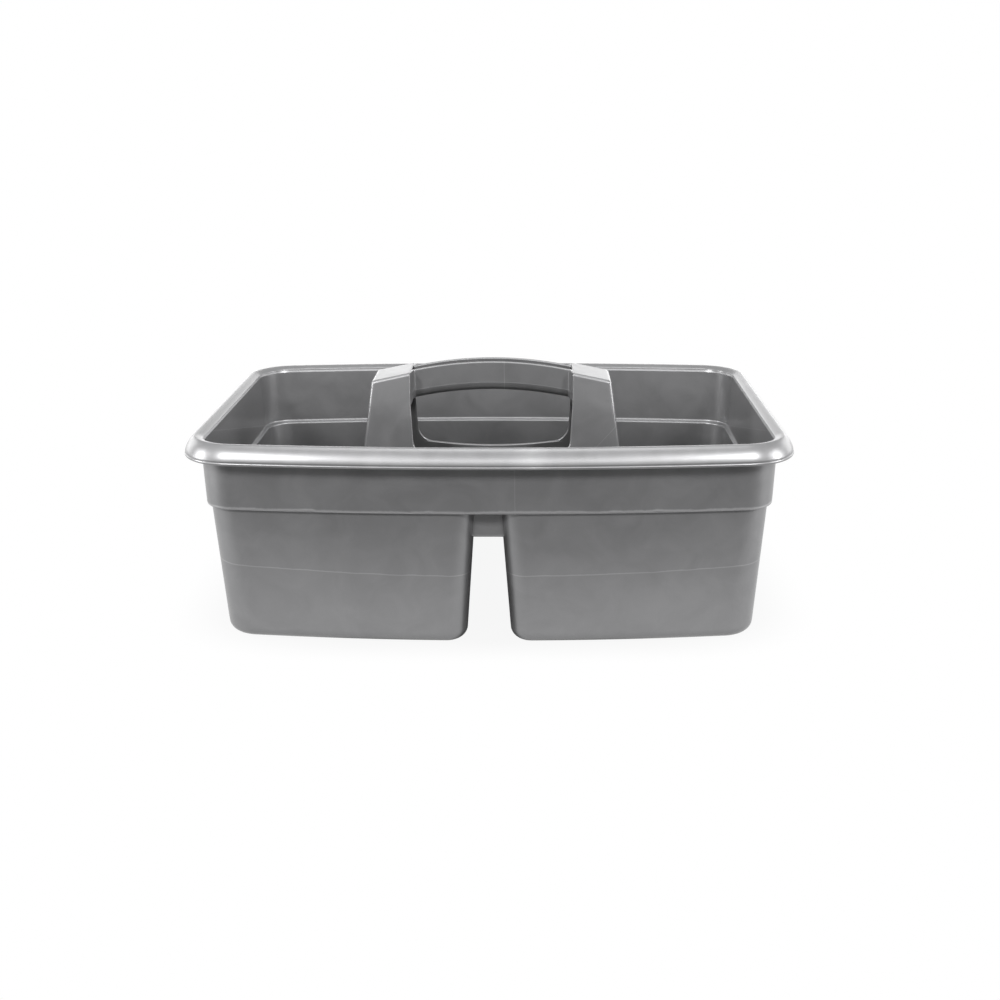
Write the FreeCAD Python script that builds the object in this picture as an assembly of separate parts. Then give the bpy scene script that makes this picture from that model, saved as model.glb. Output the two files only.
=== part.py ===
import FreeCAD, Part
import math
import os

# Two-well carry caddy, one thin-walled moulding, in millimetres.
# X runs along the length, Y towards the rear and Z up.
# The origin is the middle of the footprint, on the surface that the wells stand on.

# Wall and plan form
WALL = 2.2
CROWN = 11.6            # how far the long sides bow out at their middle
DEPTH_INSET = 73.1      # half length less half depth at the ends, the same at every level

# Rim, band and ledge
RIM_INNER = 139.5       # level of the rim's inner edge
RIM_CROWN = 141.8       # level of the highest line of the roll
RIM_CROWN_OUT = 3.5     # how far that line lies outside the band's face
RIM_REACH = 10.9        # from the band's face to the outside of the rim
RIM_FOOT = 128.9
BAND_TOP = 137.3        # level where the band turns into the rim
BAND_TOP_HALF = 192.1   # half length of the band's outer face at that level
BAND_FOOT_HALF = 190.1
BAND_TOP_CORNER = 28.0
BAND_FOOT_CORNER = 23.0
BAND_FOOT = 95.0        # underside of the ledge
BAND_EDGE = 1.2         # softened lower edge of the band

# Wells and the slot between them
WELL_TOP_HALF = 187.3
WELL_FOOT_HALF = 181.8
WELL_TOP_CORNER = 21.0
WELL_FOOT_CORNER = 22.0
SLOT_FRONT_HALF = 15.3  # half width of the slot at its foot, at the front
SLOT_REAR_HALF = 28.0   # the slot widens towards the rear
SLOT_RISE = 6.9         # how much each slot wall leans in from the foot to the ledge
SLOT_CORNER = 14.0      # where a well's long sides turn into the slot
WELL_BOTTOM_ROUND = 8.0

# Saddle bridges that join the wells over the slot
FRONT_UNDER = 74.9      # underside of the front bridge
REAR_UNDER = 66.0       # underside of the rear bridge
APRON_SETBACK = 10.0    # the front apron stands this far behind the wells' faces
APRON_LEVEL = 84.0      # height at which the setback is measured
APRON_ROUND = 2.0       # softened lower edge of the front apron
FRONT_TROUGH_HALF = 30.0  # the slot walls are cut down within this half width at the front
REAR_TROUGH_HALF = 39.0   # and, with the rear wall, within this one at the rear

# Handle tower
TOWER_FOOT_HALF_X = 108.7
TOWER_FOOT_HALF_Y = 32.5
TOWER_DRAFT_X = 0.143   # inward lean of the ends, per unit of height
TOWER_DRAFT_Y = 0.077
TOWER_CORNER = 3.0
TOWER_WALL = 2.4
ROOF_INNER = (61.1, 165.4)   # X and Z of a post's top at the grip
ROOF_OUTER = (85.8, 160.2)   # X and Z of a post's top at its outer end
ROOF_EDGE = 2.0
POST_SPLIT = 44.0       # where a post turns into the panels under the hand hole

# Hand hole through the tower
HOLE_TOP_HALF = 58.2
HOLE_STRAIGHT_Z = 144.0  # above this the hole's sides are upright
HOLE_FOOT_HALF = 56.7
HOLE_FOOT_MID = 101.9    # lower edge at the middle
HOLE_FOOT_END = 104.7    # lower edge where the corners begin
HOLE_CORNER = 13.0

# Grip
GRIP_HALF_Y = 8.6
GRIP_TOP_MID = 172.1
GRIP_TOP_END = 165.8
GRIP_UNDER_MID = 150.7
GRIP_UNDER_END = 144.3
GRIP_UNDER_ROUND = 7.4
GRIP_FLARE_START = 54.2  # the channel widens from here to the posts
GRIP_STATIONS = 6        # spans of the arch between the flares
CHEEK_FOOT = 142.0       # lower edge of the wall that closes a post behind the grip

ACROSS = FreeCAD.Vector(1, 0, 0)
ORIGIN = FreeCAD.Vector(0, 0, 0)
REACH = 400.0            # longer than anything that is cut
TOLERANCE = 1e-3
ROOF_NORMAL = (0.9, 0.999)   # range of the upward share of a sloping roof's normal


def vec(x, y, z):
    """Point or direction from its three parts."""
    return FreeCAD.Vector(x, y, z)


def line(start, end):
    """Straight edge."""
    return Part.LineSegment(start, end).toShape()


def arc(start, middle, end):
    """Circular edge through three points."""
    return Part.Arc(start, middle, end).toShape()


def arc_about(centre, start, end):
    """Shorter circular edge about a centre, from start to end."""
    bisector = (start - centre) + (end - centre)
    bisector.normalize()
    return arc(start, centre + bisector * (start - centre).Length, end)


def box(low, high):
    """Block between two opposite corners."""
    size = high - low
    return Part.makeBox(size.x, size.y, size.z, low)


def mirrored(shape):
    """The same shape on the other side of the X = 0 plane."""
    return shape.mirror(ORIGIN, ACROSS)


def outline(low, high, half_length, z):
    """Closed plan wire of two straight ends and two crowned long sides, with rounded corners.

    Each end is (x at the front, x at the rear, corner radius).
    """
    half_depth = half_length - DEPTH_INSET
    side_radius = (half_length ** 2 + CROWN ** 2) / (2 * CROWN)
    side_offset = half_depth + CROWN - side_radius

    def centre(face):
        return vec(0, face * side_offset, z)

    def corner(x_line, radius, inward, face):
        x = x_line + inward * radius
        y = side_offset + math.sqrt((side_radius - radius) ** 2 - x * x)
        return vec(x, face * y, z)

    def touch(point, radius, face):
        return centre(face) + (point - centre(face)) * (side_radius / (side_radius - radius))

    def end(front_corner, rear_corner, radius, inward):
        along = rear_corner - front_corner
        along.normalize()
        offset = vec(along.y, -along.x, 0) * (-inward * radius)
        return front_corner + offset, rear_corner + offset

    low_front, low_rear = corner(low[0], low[2], 1, -1), corner(low[1], low[2], 1, 1)
    high_front, high_rear = corner(high[0], high[2], -1, -1), corner(high[1], high[2], -1, 1)
    low_start, low_stop = end(low_front, low_rear, low[2], 1)
    high_start, high_stop = end(high_front, high_rear, high[2], -1)
    low_front_touch, low_rear_touch = touch(low_front, low[2], -1), touch(low_rear, low[2], 1)
    high_front_touch, high_rear_touch = touch(high_front, high[2], -1), touch(high_rear, high[2], 1)
    return Part.Wire([
        line(high_start, high_stop),
        arc_about(high_rear, high_stop, high_rear_touch),
        arc_about(centre(1), high_rear_touch, low_rear_touch),
        arc_about(low_rear, low_rear_touch, low_stop),
        line(low_stop, low_start),
        arc_about(low_front, low_start, low_front_touch),
        arc_about(centre(-1), low_front_touch, high_front_touch),
        arc_about(high_front, high_front_touch, high_start),
    ])


def ring(half_length, radius, z):
    """Plan wire of the whole tub at one level."""
    return outline((-half_length, -half_length, radius), (half_length, half_length, radius), half_length, z)


def loft(wires):
    """Solid with straight walls through a stack of plan wires."""
    return Part.makeLoft(wires, True, True)


def between(low, high, share):
    """Value at a share of the way from low to high."""
    return low + (high - low) * share


def edges_at(shape, z):
    """Edges that lie in one horizontal plane."""
    def level(edge):
        return abs(edge.BoundBox.ZMin - z) < TOLERANCE and abs(edge.BoundBox.ZMax - z) < TOLERANCE

    return [edge for edge in shape.Edges if level(edge)]


def well_half(z):
    """Half length of the wells' outer faces at one level."""
    return between(WELL_FOOT_HALF, WELL_TOP_HALF, z / BAND_FOOT)


def well_corner(z):
    """Outer corner radius of the wells at one level."""
    return between(WELL_FOOT_CORNER, WELL_TOP_CORNER, z / BAND_FOOT)


def well_outline(inset, z):
    """Plan wire of the right well at one level, moved inwards by inset."""
    half = well_half(z) - inset
    lean = inset - SLOT_RISE * z / BAND_FOOT
    slot = (SLOT_FRONT_HALF + lean, SLOT_REAR_HALF + lean, SLOT_CORNER - inset)
    return outline(slot, (half, half, well_corner(z) - inset), half, z)


def well_block(inset, foot, top):
    """Right well as a solid block with its lower edges rounded, moved inwards by inset."""
    block = loft([well_outline(inset, foot), well_outline(inset, top)])
    return block.makeFillet(WELL_BOTTOM_ROUND - inset, edges_at(block, foot))


def tower_block(inset):
    """Tapered block of the handle tower under its two sloping roofs, moved inwards by inset."""
    top = GRIP_TOP_MID
    wires = []
    for z in (0, top):
        half_x = TOWER_FOOT_HALF_X - TOWER_DRAFT_X * z - inset
        half_y = TOWER_FOOT_HALF_Y - TOWER_DRAFT_Y * z - inset
        wires.append(rounded_rectangle(half_x, half_y, TOWER_CORNER - inset, z))
    slope = (ROOF_OUTER[1] - ROOF_INNER[1]) / (ROOF_OUTER[0] - ROOF_INNER[0])
    ridge = ROOF_INNER[1] - slope * ROOF_INNER[0] - inset
    eaves = ridge + slope * TOWER_FOOT_HALF_X
    profile = Part.makePolygon([
        vec(-TOWER_FOOT_HALF_X, -REACH, 0),
        vec(TOWER_FOOT_HALF_X, -REACH, 0),
        vec(TOWER_FOOT_HALF_X, -REACH, eaves),
        vec(0, -REACH, ridge),
        vec(-TOWER_FOOT_HALF_X, -REACH, eaves),
        vec(-TOWER_FOOT_HALF_X, -REACH, 0),
    ])
    roof = Part.Face(profile).extrude(vec(0, 2 * REACH, 0))
    return loft(wires).common(roof)


def rounded_rectangle(half_x, half_y, radius, z):
    """Plan wire of a rectangle with rounded corners."""
    corners = []
    for x_side, y_side in ((1, 1), (-1, 1), (-1, -1), (1, -1)):
        corners.append(vec(x_side * (half_x - radius), y_side * (half_y - radius), z))
    steps = [vec(radius, 0, 0), vec(0, radius, 0), vec(-radius, 0, 0), vec(0, -radius, 0)]
    edges = []
    for i in range(4):
        start = corners[i] + steps[i]
        end = corners[i] + steps[(i + 1) % 4]
        following = corners[(i + 1) % 4] + steps[(i + 1) % 4]
        edges.append(arc_about(corners[i], start, end))
        edges.append(line(end, following))
    return Part.Wire(edges)


def soft_roof(block):
    """Tower block with the edges round its sloping tops rounded."""
    low, high = ROOF_NORMAL
    roof_faces = [face for face in block.Faces if low < face.normalAt(0, 0).z < high]
    edges = [edge for face in roof_faces for edge in face.Edges]
    return block.makeFillet(ROOF_EDGE, edges)


def hand_hole():
    """Prism of the hand hole and of the space over it, right through the tower."""
    foot_corner = (HOLE_FOOT_HALF - HOLE_CORNER, HOLE_FOOT_END)
    left_foot = vec(-foot_corner[0], -REACH, foot_corner[1])
    right_foot = vec(foot_corner[0], -REACH, foot_corner[1])
    left_side = vec(-HOLE_FOOT_HALF, -REACH, HOLE_FOOT_END + HOLE_CORNER)
    right_side = vec(HOLE_FOOT_HALF, -REACH, HOLE_FOOT_END + HOLE_CORNER)
    lean = HOLE_CORNER * math.sqrt(0.5)
    left_bend = vec(-foot_corner[0] - lean, -REACH, HOLE_FOOT_END + HOLE_CORNER - lean)
    right_bend = vec(foot_corner[0] + lean, -REACH, HOLE_FOOT_END + HOLE_CORNER - lean)
    left_knee = vec(-HOLE_TOP_HALF, -REACH, HOLE_STRAIGHT_Z)
    right_knee = vec(HOLE_TOP_HALF, -REACH, HOLE_STRAIGHT_Z)
    left_top = vec(-HOLE_TOP_HALF, -REACH, REACH)
    right_top = vec(HOLE_TOP_HALF, -REACH, REACH)
    profile = Part.Wire([
        arc(left_foot, vec(0, -REACH, HOLE_FOOT_MID), right_foot),
        arc(right_foot, right_bend, right_side),
        line(right_side, right_knee),
        line(right_knee, right_top),
        line(right_top, left_top),
        line(left_top, left_knee),
        line(left_knee, left_side),
        arc(left_side, left_bend, left_foot),
    ])
    return Part.Face(profile).extrude(vec(0, 2 * REACH, 0))


def slot_space(wells):
    """Space of the slot between the wells under the tower, up to the bridges."""
    half_y = TOWER_FOOT_HALF_Y + SLOT_CORNER
    half_x = SLOT_REAR_HALF + SLOT_CORNER
    front = box(vec(-half_x, -half_y, 0), vec(half_x, 0, FRONT_UNDER))
    rear = box(vec(-half_x, 0, 0), vec(half_x, half_y, REAR_UNDER))
    return front.fuse(rear).cut(wells)


def apron_front():
    """Y of the front apron's outer face."""
    return -(well_half(APRON_LEVEL) - DEPTH_INSET + CROWN - APRON_SETBACK)


def front_trough():
    """Space behind the front apron, where the slot walls are cut down to the bridge."""
    low = vec(-FRONT_TROUGH_HALF, apron_front() + WALL, FRONT_UNDER)
    return box(low, vec(FRONT_TROUGH_HALF, 0, BAND_FOOT + 2 * WALL))


def rear_trough(top):
    """Space over the rear bridge, where the slot walls and the wells' rear walls are cut down."""
    return box(vec(-REAR_TROUGH_HALF, 0, REAR_UNDER), vec(REAR_TROUGH_HALF, REACH, top))


def tub_block(inset, top):
    """The wells' outside carried straight across the slot, from the rear bridge upwards."""
    wires = [ring(well_half(z) - inset, well_corner(z) - inset, z) for z in (REAR_UNDER, top)]
    return loft(wires)


def rolled_rim():
    """Rolled lip carried round the top of the band: a shallow inner arc, a round shoulder and a skirt."""
    path = ring(BAND_TOP_HALF, BAND_TOP_CORNER, BAND_TOP)
    start = path.OrderedVertexes[0].Point
    span = RIM_CROWN_OUT + WALL
    rise = RIM_CROWN - RIM_INNER
    inner_radius = (span ** 2 + rise ** 2) / (2 * rise)
    shoulder_radius = RIM_REACH - RIM_CROWN_OUT
    skirt = RIM_CROWN - shoulder_radius
    lip = RIM_FOOT + WALL / 2

    def at(out, z):
        return vec(start.x + out, start.y, z)

    inner_centre = at(RIM_CROWN_OUT, RIM_CROWN - inner_radius)
    shoulder_centre = at(RIM_CROWN_OUT, skirt)
    inner_edge = at(-WALL, RIM_INNER)
    crown = at(RIM_CROWN_OUT, RIM_CROWN)
    crown_under = at(RIM_CROWN_OUT, RIM_CROWN - WALL)
    root = at(0, inner_centre.z + math.sqrt((inner_radius - WALL) ** 2 - RIM_CROWN_OUT ** 2))
    profile = Part.Wire([
        line(at(-WALL, BAND_TOP), inner_edge),
        arc_about(inner_centre, inner_edge, crown),
        arc_about(shoulder_centre, crown, at(RIM_REACH, skirt)),
        line(at(RIM_REACH, skirt), at(RIM_REACH, lip)),
        arc(at(RIM_REACH, lip), at(RIM_REACH - WALL / 2, RIM_FOOT), at(RIM_REACH - WALL, lip)),
        line(at(RIM_REACH - WALL, lip), at(RIM_REACH - WALL, skirt)),
        arc_about(shoulder_centre, at(RIM_REACH - WALL, skirt), crown_under),
        arc_about(inner_centre, crown_under, root),
        line(root, at(0, BAND_TOP)),
        line(at(0, BAND_TOP), at(-WALL, BAND_TOP)),
    ])
    sweep = Part.BRepOffsetAPI.MakePipeShell(path)
    sweep.add(profile)
    sweep.build()
    sweep.makeSolid()
    return sweep.shape()


def upper_band(cavities):
    """Wall under the rim and the ledge at its foot, open over both wells and the bridges."""
    ledge_top = BAND_FOOT + 2 * WALL
    outer = loft([
        ring(BAND_FOOT_HALF, BAND_FOOT_CORNER, BAND_FOOT),
        ring(BAND_TOP_HALF, BAND_TOP_CORNER, BAND_TOP),
    ])
    outer = outer.makeFillet(BAND_EDGE, edges_at(outer, BAND_FOOT))
    inner = loft([
        ring(BAND_FOOT_HALF - WALL, BAND_FOOT_CORNER - WALL, BAND_FOOT + WALL),
        ring(BAND_TOP_HALF - WALL, BAND_TOP_CORNER - WALL, BAND_TOP),
    ])
    rear_gap = tub_block(WALL, ledge_top).common(rear_trough(ledge_top))
    return outer.cut([inner, front_trough(), rear_gap] + cavities)


def front_bridge(wells, cavities, tower):
    """Front saddle: a plate over the slot and a recessed apron that rises to the ledge."""
    face = apron_front()
    half = FRONT_TROUGH_HALF
    apron = box(vec(-half, face, FRONT_UNDER), vec(half, face + WALL, BAND_FOOT))
    foot = vec(0, face, FRONT_UNDER)
    nose = [edge for edge in apron.Edges if edge.BoundBox.Center.sub(foot).Length < TOLERANCE]
    apron = apron.makeFillet(APRON_ROUND, nose).cut(wells)
    plate = box(vec(-half, face + WALL, FRONT_UNDER), vec(half, 0, FRONT_UNDER + WALL)).cut(cavities)
    return apron.fuse(plate.cut(tower)).removeSplitter()


def rear_bridge(cavities, tower):
    """Rear saddle: a plate over the slot and a stretch of wall flush with the wells' rear faces."""
    outer = tub_block(0, BAND_FOOT).common(rear_trough(BAND_FOOT))
    wall = outer.cut(tub_block(WALL, BAND_FOOT))
    plate = outer.common(rear_trough(REAR_UNDER + WALL)).cut(cavities)
    return wall.fuse(plate.cut(tower)).removeSplitter()


def handle_tower(slot):
    """Hollow tower with its hand hole and slot, and a cheek that closes each post behind the grip."""
    outer = soft_roof(tower_block(0))
    inner = tower_block(TOWER_WALL)
    shell = outer.cut(inner).cut(hand_hole()).cut(slot)
    cheek = box(
        vec(HOLE_TOP_HALF, -TOWER_FOOT_HALF_Y, CHEEK_FOOT),
        vec(HOLE_TOP_HALF + TOWER_WALL, TOWER_FOOT_HALF_Y, REACH),
    ).common(inner)
    return shell.fuse([cheek, mirrored(cheek)]).removeSplitter()


def arch(middle, end, x):
    """Height of a shallow arch at x, given its height at the middle and at the posts."""
    sag = middle - end
    radius = (HOLE_TOP_HALF ** 2 + sag ** 2) / (2 * sag)
    return middle - radius + math.sqrt(radius ** 2 - x * x)


def half_channel(x, half_y, inset, top):
    """Corner points of one side of the grip's section, from its top edge to the middle of its foot."""
    under = arch(GRIP_UNDER_MID, GRIP_UNDER_END, x) + inset
    radius = GRIP_UNDER_ROUND - inset
    side = half_y - inset
    lean = radius * math.sqrt(0.5)
    return [
        vec(x, side, top),
        vec(x, side, under + radius),
        vec(x, side - radius + lean, under + radius - lean),
        vec(x, side - radius, under),
    ]


def grip_section(x, half_y):
    """Closed wire of the open-topped channel across the grip at one station."""
    top = arch(GRIP_TOP_MID, GRIP_TOP_END, x)
    outer = half_channel(x, half_y, 0, top)
    inner = half_channel(x, half_y, WALL, top)

    def front(point):
        return vec(point.x, -point.y, point.z)

    return Part.Wire([
        line(outer[0], outer[1]),
        arc(outer[1], outer[2], outer[3]),
        line(outer[3], front(outer[3])),
        arc(front(outer[3]), front(outer[2]), front(outer[1])),
        line(front(outer[1]), front(outer[0])),
        line(front(outer[0]), front(inner[0])),
        line(front(inner[0]), front(inner[1])),
        arc(front(inner[1]), front(inner[2]), front(inner[3])),
        line(front(inner[3]), inner[3]),
        arc(inner[3], inner[2], inner[1]),
        line(inner[1], inner[0]),
        line(inner[0], outer[0]),
    ])


def handle_grip():
    """Open-topped channel arched between the posts, flared where it meets them."""
    step = 2 * GRIP_FLARE_START / GRIP_STATIONS
    stations = [i * step - GRIP_FLARE_START for i in range(GRIP_STATIONS + 1)]
    channel = Part.makeLoft([grip_section(x, GRIP_HALF_Y) for x in stations], True, False)
    flare = loft([
        grip_section(GRIP_FLARE_START, GRIP_HALF_Y),
        grip_section(HOLE_TOP_HALF, TOWER_FOOT_HALF_Y - TOWER_DRAFT_Y * GRIP_TOP_END),
    ])
    return channel.fuse([flare, mirrored(flare)]).removeSplitter()


def slab(low_x, high_x):
    """All of space between two upright planes across the length."""
    return box(vec(low_x, -REACH, -REACH), vec(high_x, REACH, REACH))


def build():
    """All sub-parts by name."""
    right_block = well_block(0, 0, BAND_FOOT)
    wells = [mirrored(right_block), right_block]
    right_cavity = well_block(WALL, WALL, BAND_FOOT + 2 * WALL)
    cavities = [mirrored(right_cavity), right_cavity]
    tower_outer = soft_roof(tower_block(0))
    tower = handle_tower(slot_space(wells))
    middle = tower.common(slab(-POST_SPLIT, POST_SPLIT))
    cuts = [tower_outer, front_trough(), rear_trough(REACH)]
    return {
        "rolled_rim": rolled_rim(),
        "upper_band": upper_band(cavities),
        "left_well": wells[0].cut(cavities[:1] + cuts),
        "right_well": wells[1].cut(cavities[1:] + cuts),
        "front_bridge": front_bridge(wells, cavities, tower_outer),
        "rear_bridge": rear_bridge(cavities, tower_outer),
        "left_post": tower.common(slab(-REACH, -POST_SPLIT)),
        "right_post": tower.common(slab(POST_SPLIT, REACH)),
        "front_panel": middle.common(box(vec(-REACH, -REACH, -REACH), vec(REACH, 0, REACH))),
        "rear_panel": middle.common(box(vec(-REACH, 0, -REACH), vec(REACH, REACH, REACH))),
        "handle_grip": handle_grip(),
    }


os.makedirs("parts", exist_ok=True)
for name, shape in build().items():
    print(name, "valid", shape.isValid(), "solids", len(shape.Solids), "mm3", round(shape.Volume))
    shape.exportStep(f"parts/{name}.step")
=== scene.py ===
"""Moulded two-well carry caddy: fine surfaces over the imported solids, its plastic, light and camera.

Sizes are in millimetres in the row frame: X along the length, Y to the rear and Z up. Meshes are
turned to metres when they are made.
"""

import logging
import math
from dataclasses import dataclass, field
from enum import Enum
from functools import partial

import bmesh
import bpy
import numpy as np
from mathutils import Matrix, Vector


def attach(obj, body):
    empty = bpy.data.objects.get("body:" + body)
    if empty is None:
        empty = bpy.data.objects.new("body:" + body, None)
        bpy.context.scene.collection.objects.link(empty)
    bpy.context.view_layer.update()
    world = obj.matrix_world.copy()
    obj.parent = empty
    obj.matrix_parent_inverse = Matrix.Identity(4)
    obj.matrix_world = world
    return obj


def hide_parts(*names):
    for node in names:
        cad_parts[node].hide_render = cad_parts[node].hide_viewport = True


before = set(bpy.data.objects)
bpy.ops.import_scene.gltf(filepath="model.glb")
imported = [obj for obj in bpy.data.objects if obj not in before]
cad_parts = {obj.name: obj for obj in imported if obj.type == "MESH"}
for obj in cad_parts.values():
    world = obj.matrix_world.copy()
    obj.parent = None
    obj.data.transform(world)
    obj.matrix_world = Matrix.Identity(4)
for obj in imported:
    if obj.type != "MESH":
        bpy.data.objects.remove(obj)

Array = np.ndarray
Number = float | Array
Pair = tuple[float, float]
Triple = tuple[float, float, float]
LOG = logging.getLogger("caddy")
MM = 0.001


class Hand(Enum):
    """Which half of the caddy a piece belongs to: the sign of its X."""

    LEFT = -1
    RIGHT = 1


class Face(Enum):
    """Which long side a piece belongs to: the sign of its Y."""

    FRONT = -1
    REAR = 1


class Axis(Enum):
    """Output of a Separate XYZ node."""

    X = "X"
    Y = "Y"
    Z = "Z"


def between(low: Number, high: Number, share: Number) -> Number:
    """Value at a share of the way from low to high."""
    return low + (high - low) * share


def spaced(start: float, end: float, count: int, margin: float = 0.4) -> Array:
    """Values from start to end, close together at both ends, which keeps shading flat up to a rounding.

    Args:
        start: First value.
        end: Last value.
        count: Number of values, four or more.
        margin: Distance of the second value from the first, and of the last from the one before.

    Returns:
        The values in order.
    """
    step = math.copysign(margin, end - start)
    return np.concatenate([[start], np.linspace(start + step, end - step, count - 2), [end]])


def arc(centre: Pair, radius: float, start: float, end: float, count: int) -> Array:
    """Points of a circular arc: centre plus radius times the cosine and sine of even angles.

    Args:
        centre: Centre in the profile's two coordinates.
        radius: Radius.
        start: First angle in degrees.
        end: Last angle in degrees.
        count: Number of points.

    Returns:
        Array of count points.
    """
    angle = np.radians(np.linspace(start, end, count))
    return np.stack([centre[0] + radius * np.cos(angle), centre[1] + radius * np.sin(angle)], axis=-1)


def straight(start: Pair, end: Pair, count: int, margin: float = 0.4) -> Array:
    """Points of a straight run without its two ends, the outermost a margin inside them.

    Args:
        start: One end.
        end: Other end.
        count: Number of points.
        margin: Distance of the outermost points from the ends.

    Returns:
        Array of count points.
    """
    first, last = np.array(start, float), np.array(end, float)
    edge = margin / np.linalg.norm(last - first)
    share = np.linspace(edge, 1 - edge, count)[:, None]
    return first + (last - first) * share


def eased(distance: Array, radius: float) -> Array:
    """How far a surface drops back at a distance from an edge that is rounded with a radius.

    The rounding is a quarter circle, so the drop is the radius less the root of the radius squared
    less the square of what is missing from the radius, and nothing past the radius.

    Args:
        distance: Distance from the edge, along the surface.
        radius: Radius of the rounding.

    Returns:
        Drop at each distance.
    """
    missing = np.clip(radius - distance, 0, radius)
    return radius - np.sqrt(radius ** 2 - missing ** 2)


def plan_and_level(plan: Array, level: Number) -> Array:
    """Points in space from plan points and their levels, which are spread over them."""
    height = np.broadcast_to(np.asarray(level, float), plan.shape[:-1])
    return np.concatenate([plan, height[..., None]], axis=-1)


def grid_quads(rows: int, cols: int) -> Array:
    """Quads of a grid of points that closes on itself in both directions.

    Args:
        rows: Number of rows.
        cols: Number of columns.

    Returns:
        Array of quads, four point numbers each.
    """
    index = np.arange(rows * cols).reshape(rows, cols)
    down, right = np.roll(index, -1, axis=0), np.roll(index, -1, axis=1)
    both = np.roll(down, -1, axis=1)
    return np.stack([index, right, both, down], axis=-1).reshape(-1, 4)


def shell_quads(keep: Array, wrap: bool, close_last_row: bool) -> Array:
    """Quads of a wall between two matching grids, closed along every open edge.

    The first grid's points come before the second grid's. A kept cell gives one quad on each grid, and
    an edge with a kept cell on one side only gives a quad across the wall.

    Args:
        keep: Which cells of the grid are there, rows by columns of cells.
        wrap: The last column of points joins the first.
        close_last_row: Whether the edge along the last row is closed.

    Returns:
        Array of quads, four point numbers each.
    """
    rows = keep.shape[0] + 1
    cols = keep.shape[1] + (0 if wrap else 1)
    total = rows * cols
    index = np.arange(total).reshape(rows, cols)
    if wrap:
        index = np.hstack([index, index[:, :1]])
    start, end = index[:, :-1], index[:, 1:]
    sheet = np.stack([start[:-1], end[:-1], end[1:], start[1:]], axis=-1)[keep]
    none = np.zeros((1, keep.shape[1]), bool)
    above, below = np.vstack([none, keep]), np.vstack([keep, none])
    if not close_last_row:
        above[-1] = False
    first, second = below & ~above, above & ~below
    strips = [
        np.stack([end[first], start[first], start[first] + total, end[first] + total], axis=-1),
        np.stack([start[second], end[second], end[second] + total, start[second] + total], axis=-1),
    ]
    if wrap:
        left, right, edge = np.roll(keep, 1, axis=1), keep, index[:, :-1]
    else:
        empty = np.zeros((keep.shape[0], 1), bool)
        left, right, edge = np.hstack([empty, keep]), np.hstack([keep, empty]), index
    top, foot = edge[:-1], edge[1:]
    first, second = right & ~left, left & ~right
    strips += [
        np.stack([top[first], foot[first], foot[first] + total, top[first] + total], axis=-1),
        np.stack([foot[second], top[second], top[second] + total, foot[second] + total], axis=-1),
    ]
    return np.concatenate([sheet, sheet[:, ::-1] + total, *strips])


@dataclass
class Piece:
    """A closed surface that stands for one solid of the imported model."""

    name: str
    node: str
    points: list[Array] = field(default_factory=list)
    quads: list[Array] = field(default_factory=list)
    sharp_degrees: float = 38.0
    weld: float = 0.002

    def add_tube(self, grid: Array) -> None:
        """Add a grid of points that closes on itself both ways."""
        self._add(grid.reshape(-1, 3), grid_quads(*grid.shape[:2]))

    def add_shell(self, outer: Array, inner: Array, keep: Array | None = None, wrap: bool = False,
                  close_last_row: bool = True) -> None:
        """Add the wall between two matching grids of points.

        Args:
            outer: Points of one face, rows by columns.
            inner: Points of the other face.
            keep: Which cells are there, or None for all.
            wrap: The last column joins the first.
            close_last_row: Whether the wall is closed along the last row.
        """
        if keep is None:
            keep = np.ones((outer.shape[0] - 1, outer.shape[1] - (0 if wrap else 1)), bool)
        points = np.concatenate([outer.reshape(-1, 3), inner.reshape(-1, 3)])
        self._add(points, shell_quads(keep, wrap, close_last_row))

    def _add(self, points: Array, quads: Array) -> None:
        """Keep the points that the quads use, numbered after those already there.

        Args:
            points: Points of a surface.
            quads: Its quads, four point numbers each.
        """
        used, index = np.unique(quads, return_inverse=True)
        count = sum(len(block) for block in self.points)
        self.points.append(points[used])
        self.quads.append(index.reshape(quads.shape) + count)

    def mirror(self, hand: Hand) -> "Piece":
        """The same piece, on the other half if the hand is the left one."""
        self.points = [block * np.array([hand.value, 1, 1]) for block in self.points]
        return self

    def build(self, material: bpy.types.Material) -> bpy.types.Object:
        """Make the mesh, weld its seams, turn its faces outwards and stand it in for its node.

        Args:
            material: Finish of the piece.

        Returns:
            The new object.
        """
        mesh = bpy.data.meshes.new(self.name)
        points = np.concatenate(self.points) * MM
        mesh.from_pydata(points.tolist(), [], np.concatenate(self.quads).tolist())
        shape = bmesh.new()
        shape.from_mesh(mesh)
        bmesh.ops.remove_doubles(shape, verts=shape.verts, dist=self.weld * MM)
        bmesh.ops.dissolve_degenerate(shape, edges=shape.edges, dist=self.weld * MM)
        if shape.calc_volume(signed=True) < 0:
            bmesh.ops.reverse_faces(shape, faces=shape.faces)
        shape.to_mesh(mesh)
        shape.free()
        mesh.shade_smooth()
        mesh.set_sharp_from_angle(angle=math.radians(self.sharp_degrees))
        mesh.materials.append(material)
        made = bpy.data.objects.new(self.name, mesh)
        bpy.context.scene.collection.objects.link(made)
        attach(made, "root")
        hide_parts(self.node)
        edges = np.empty(len(mesh.loops), np.int32)
        mesh.loops.foreach_get("edge_index", edges)
        odd = int((np.bincount(edges) != 2).sum())
        LOG.info("%s stands for %s: %d faces, %d edges without two of them",
                 self.name, self.node, len(mesh.polygons), odd)
        return made


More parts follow.
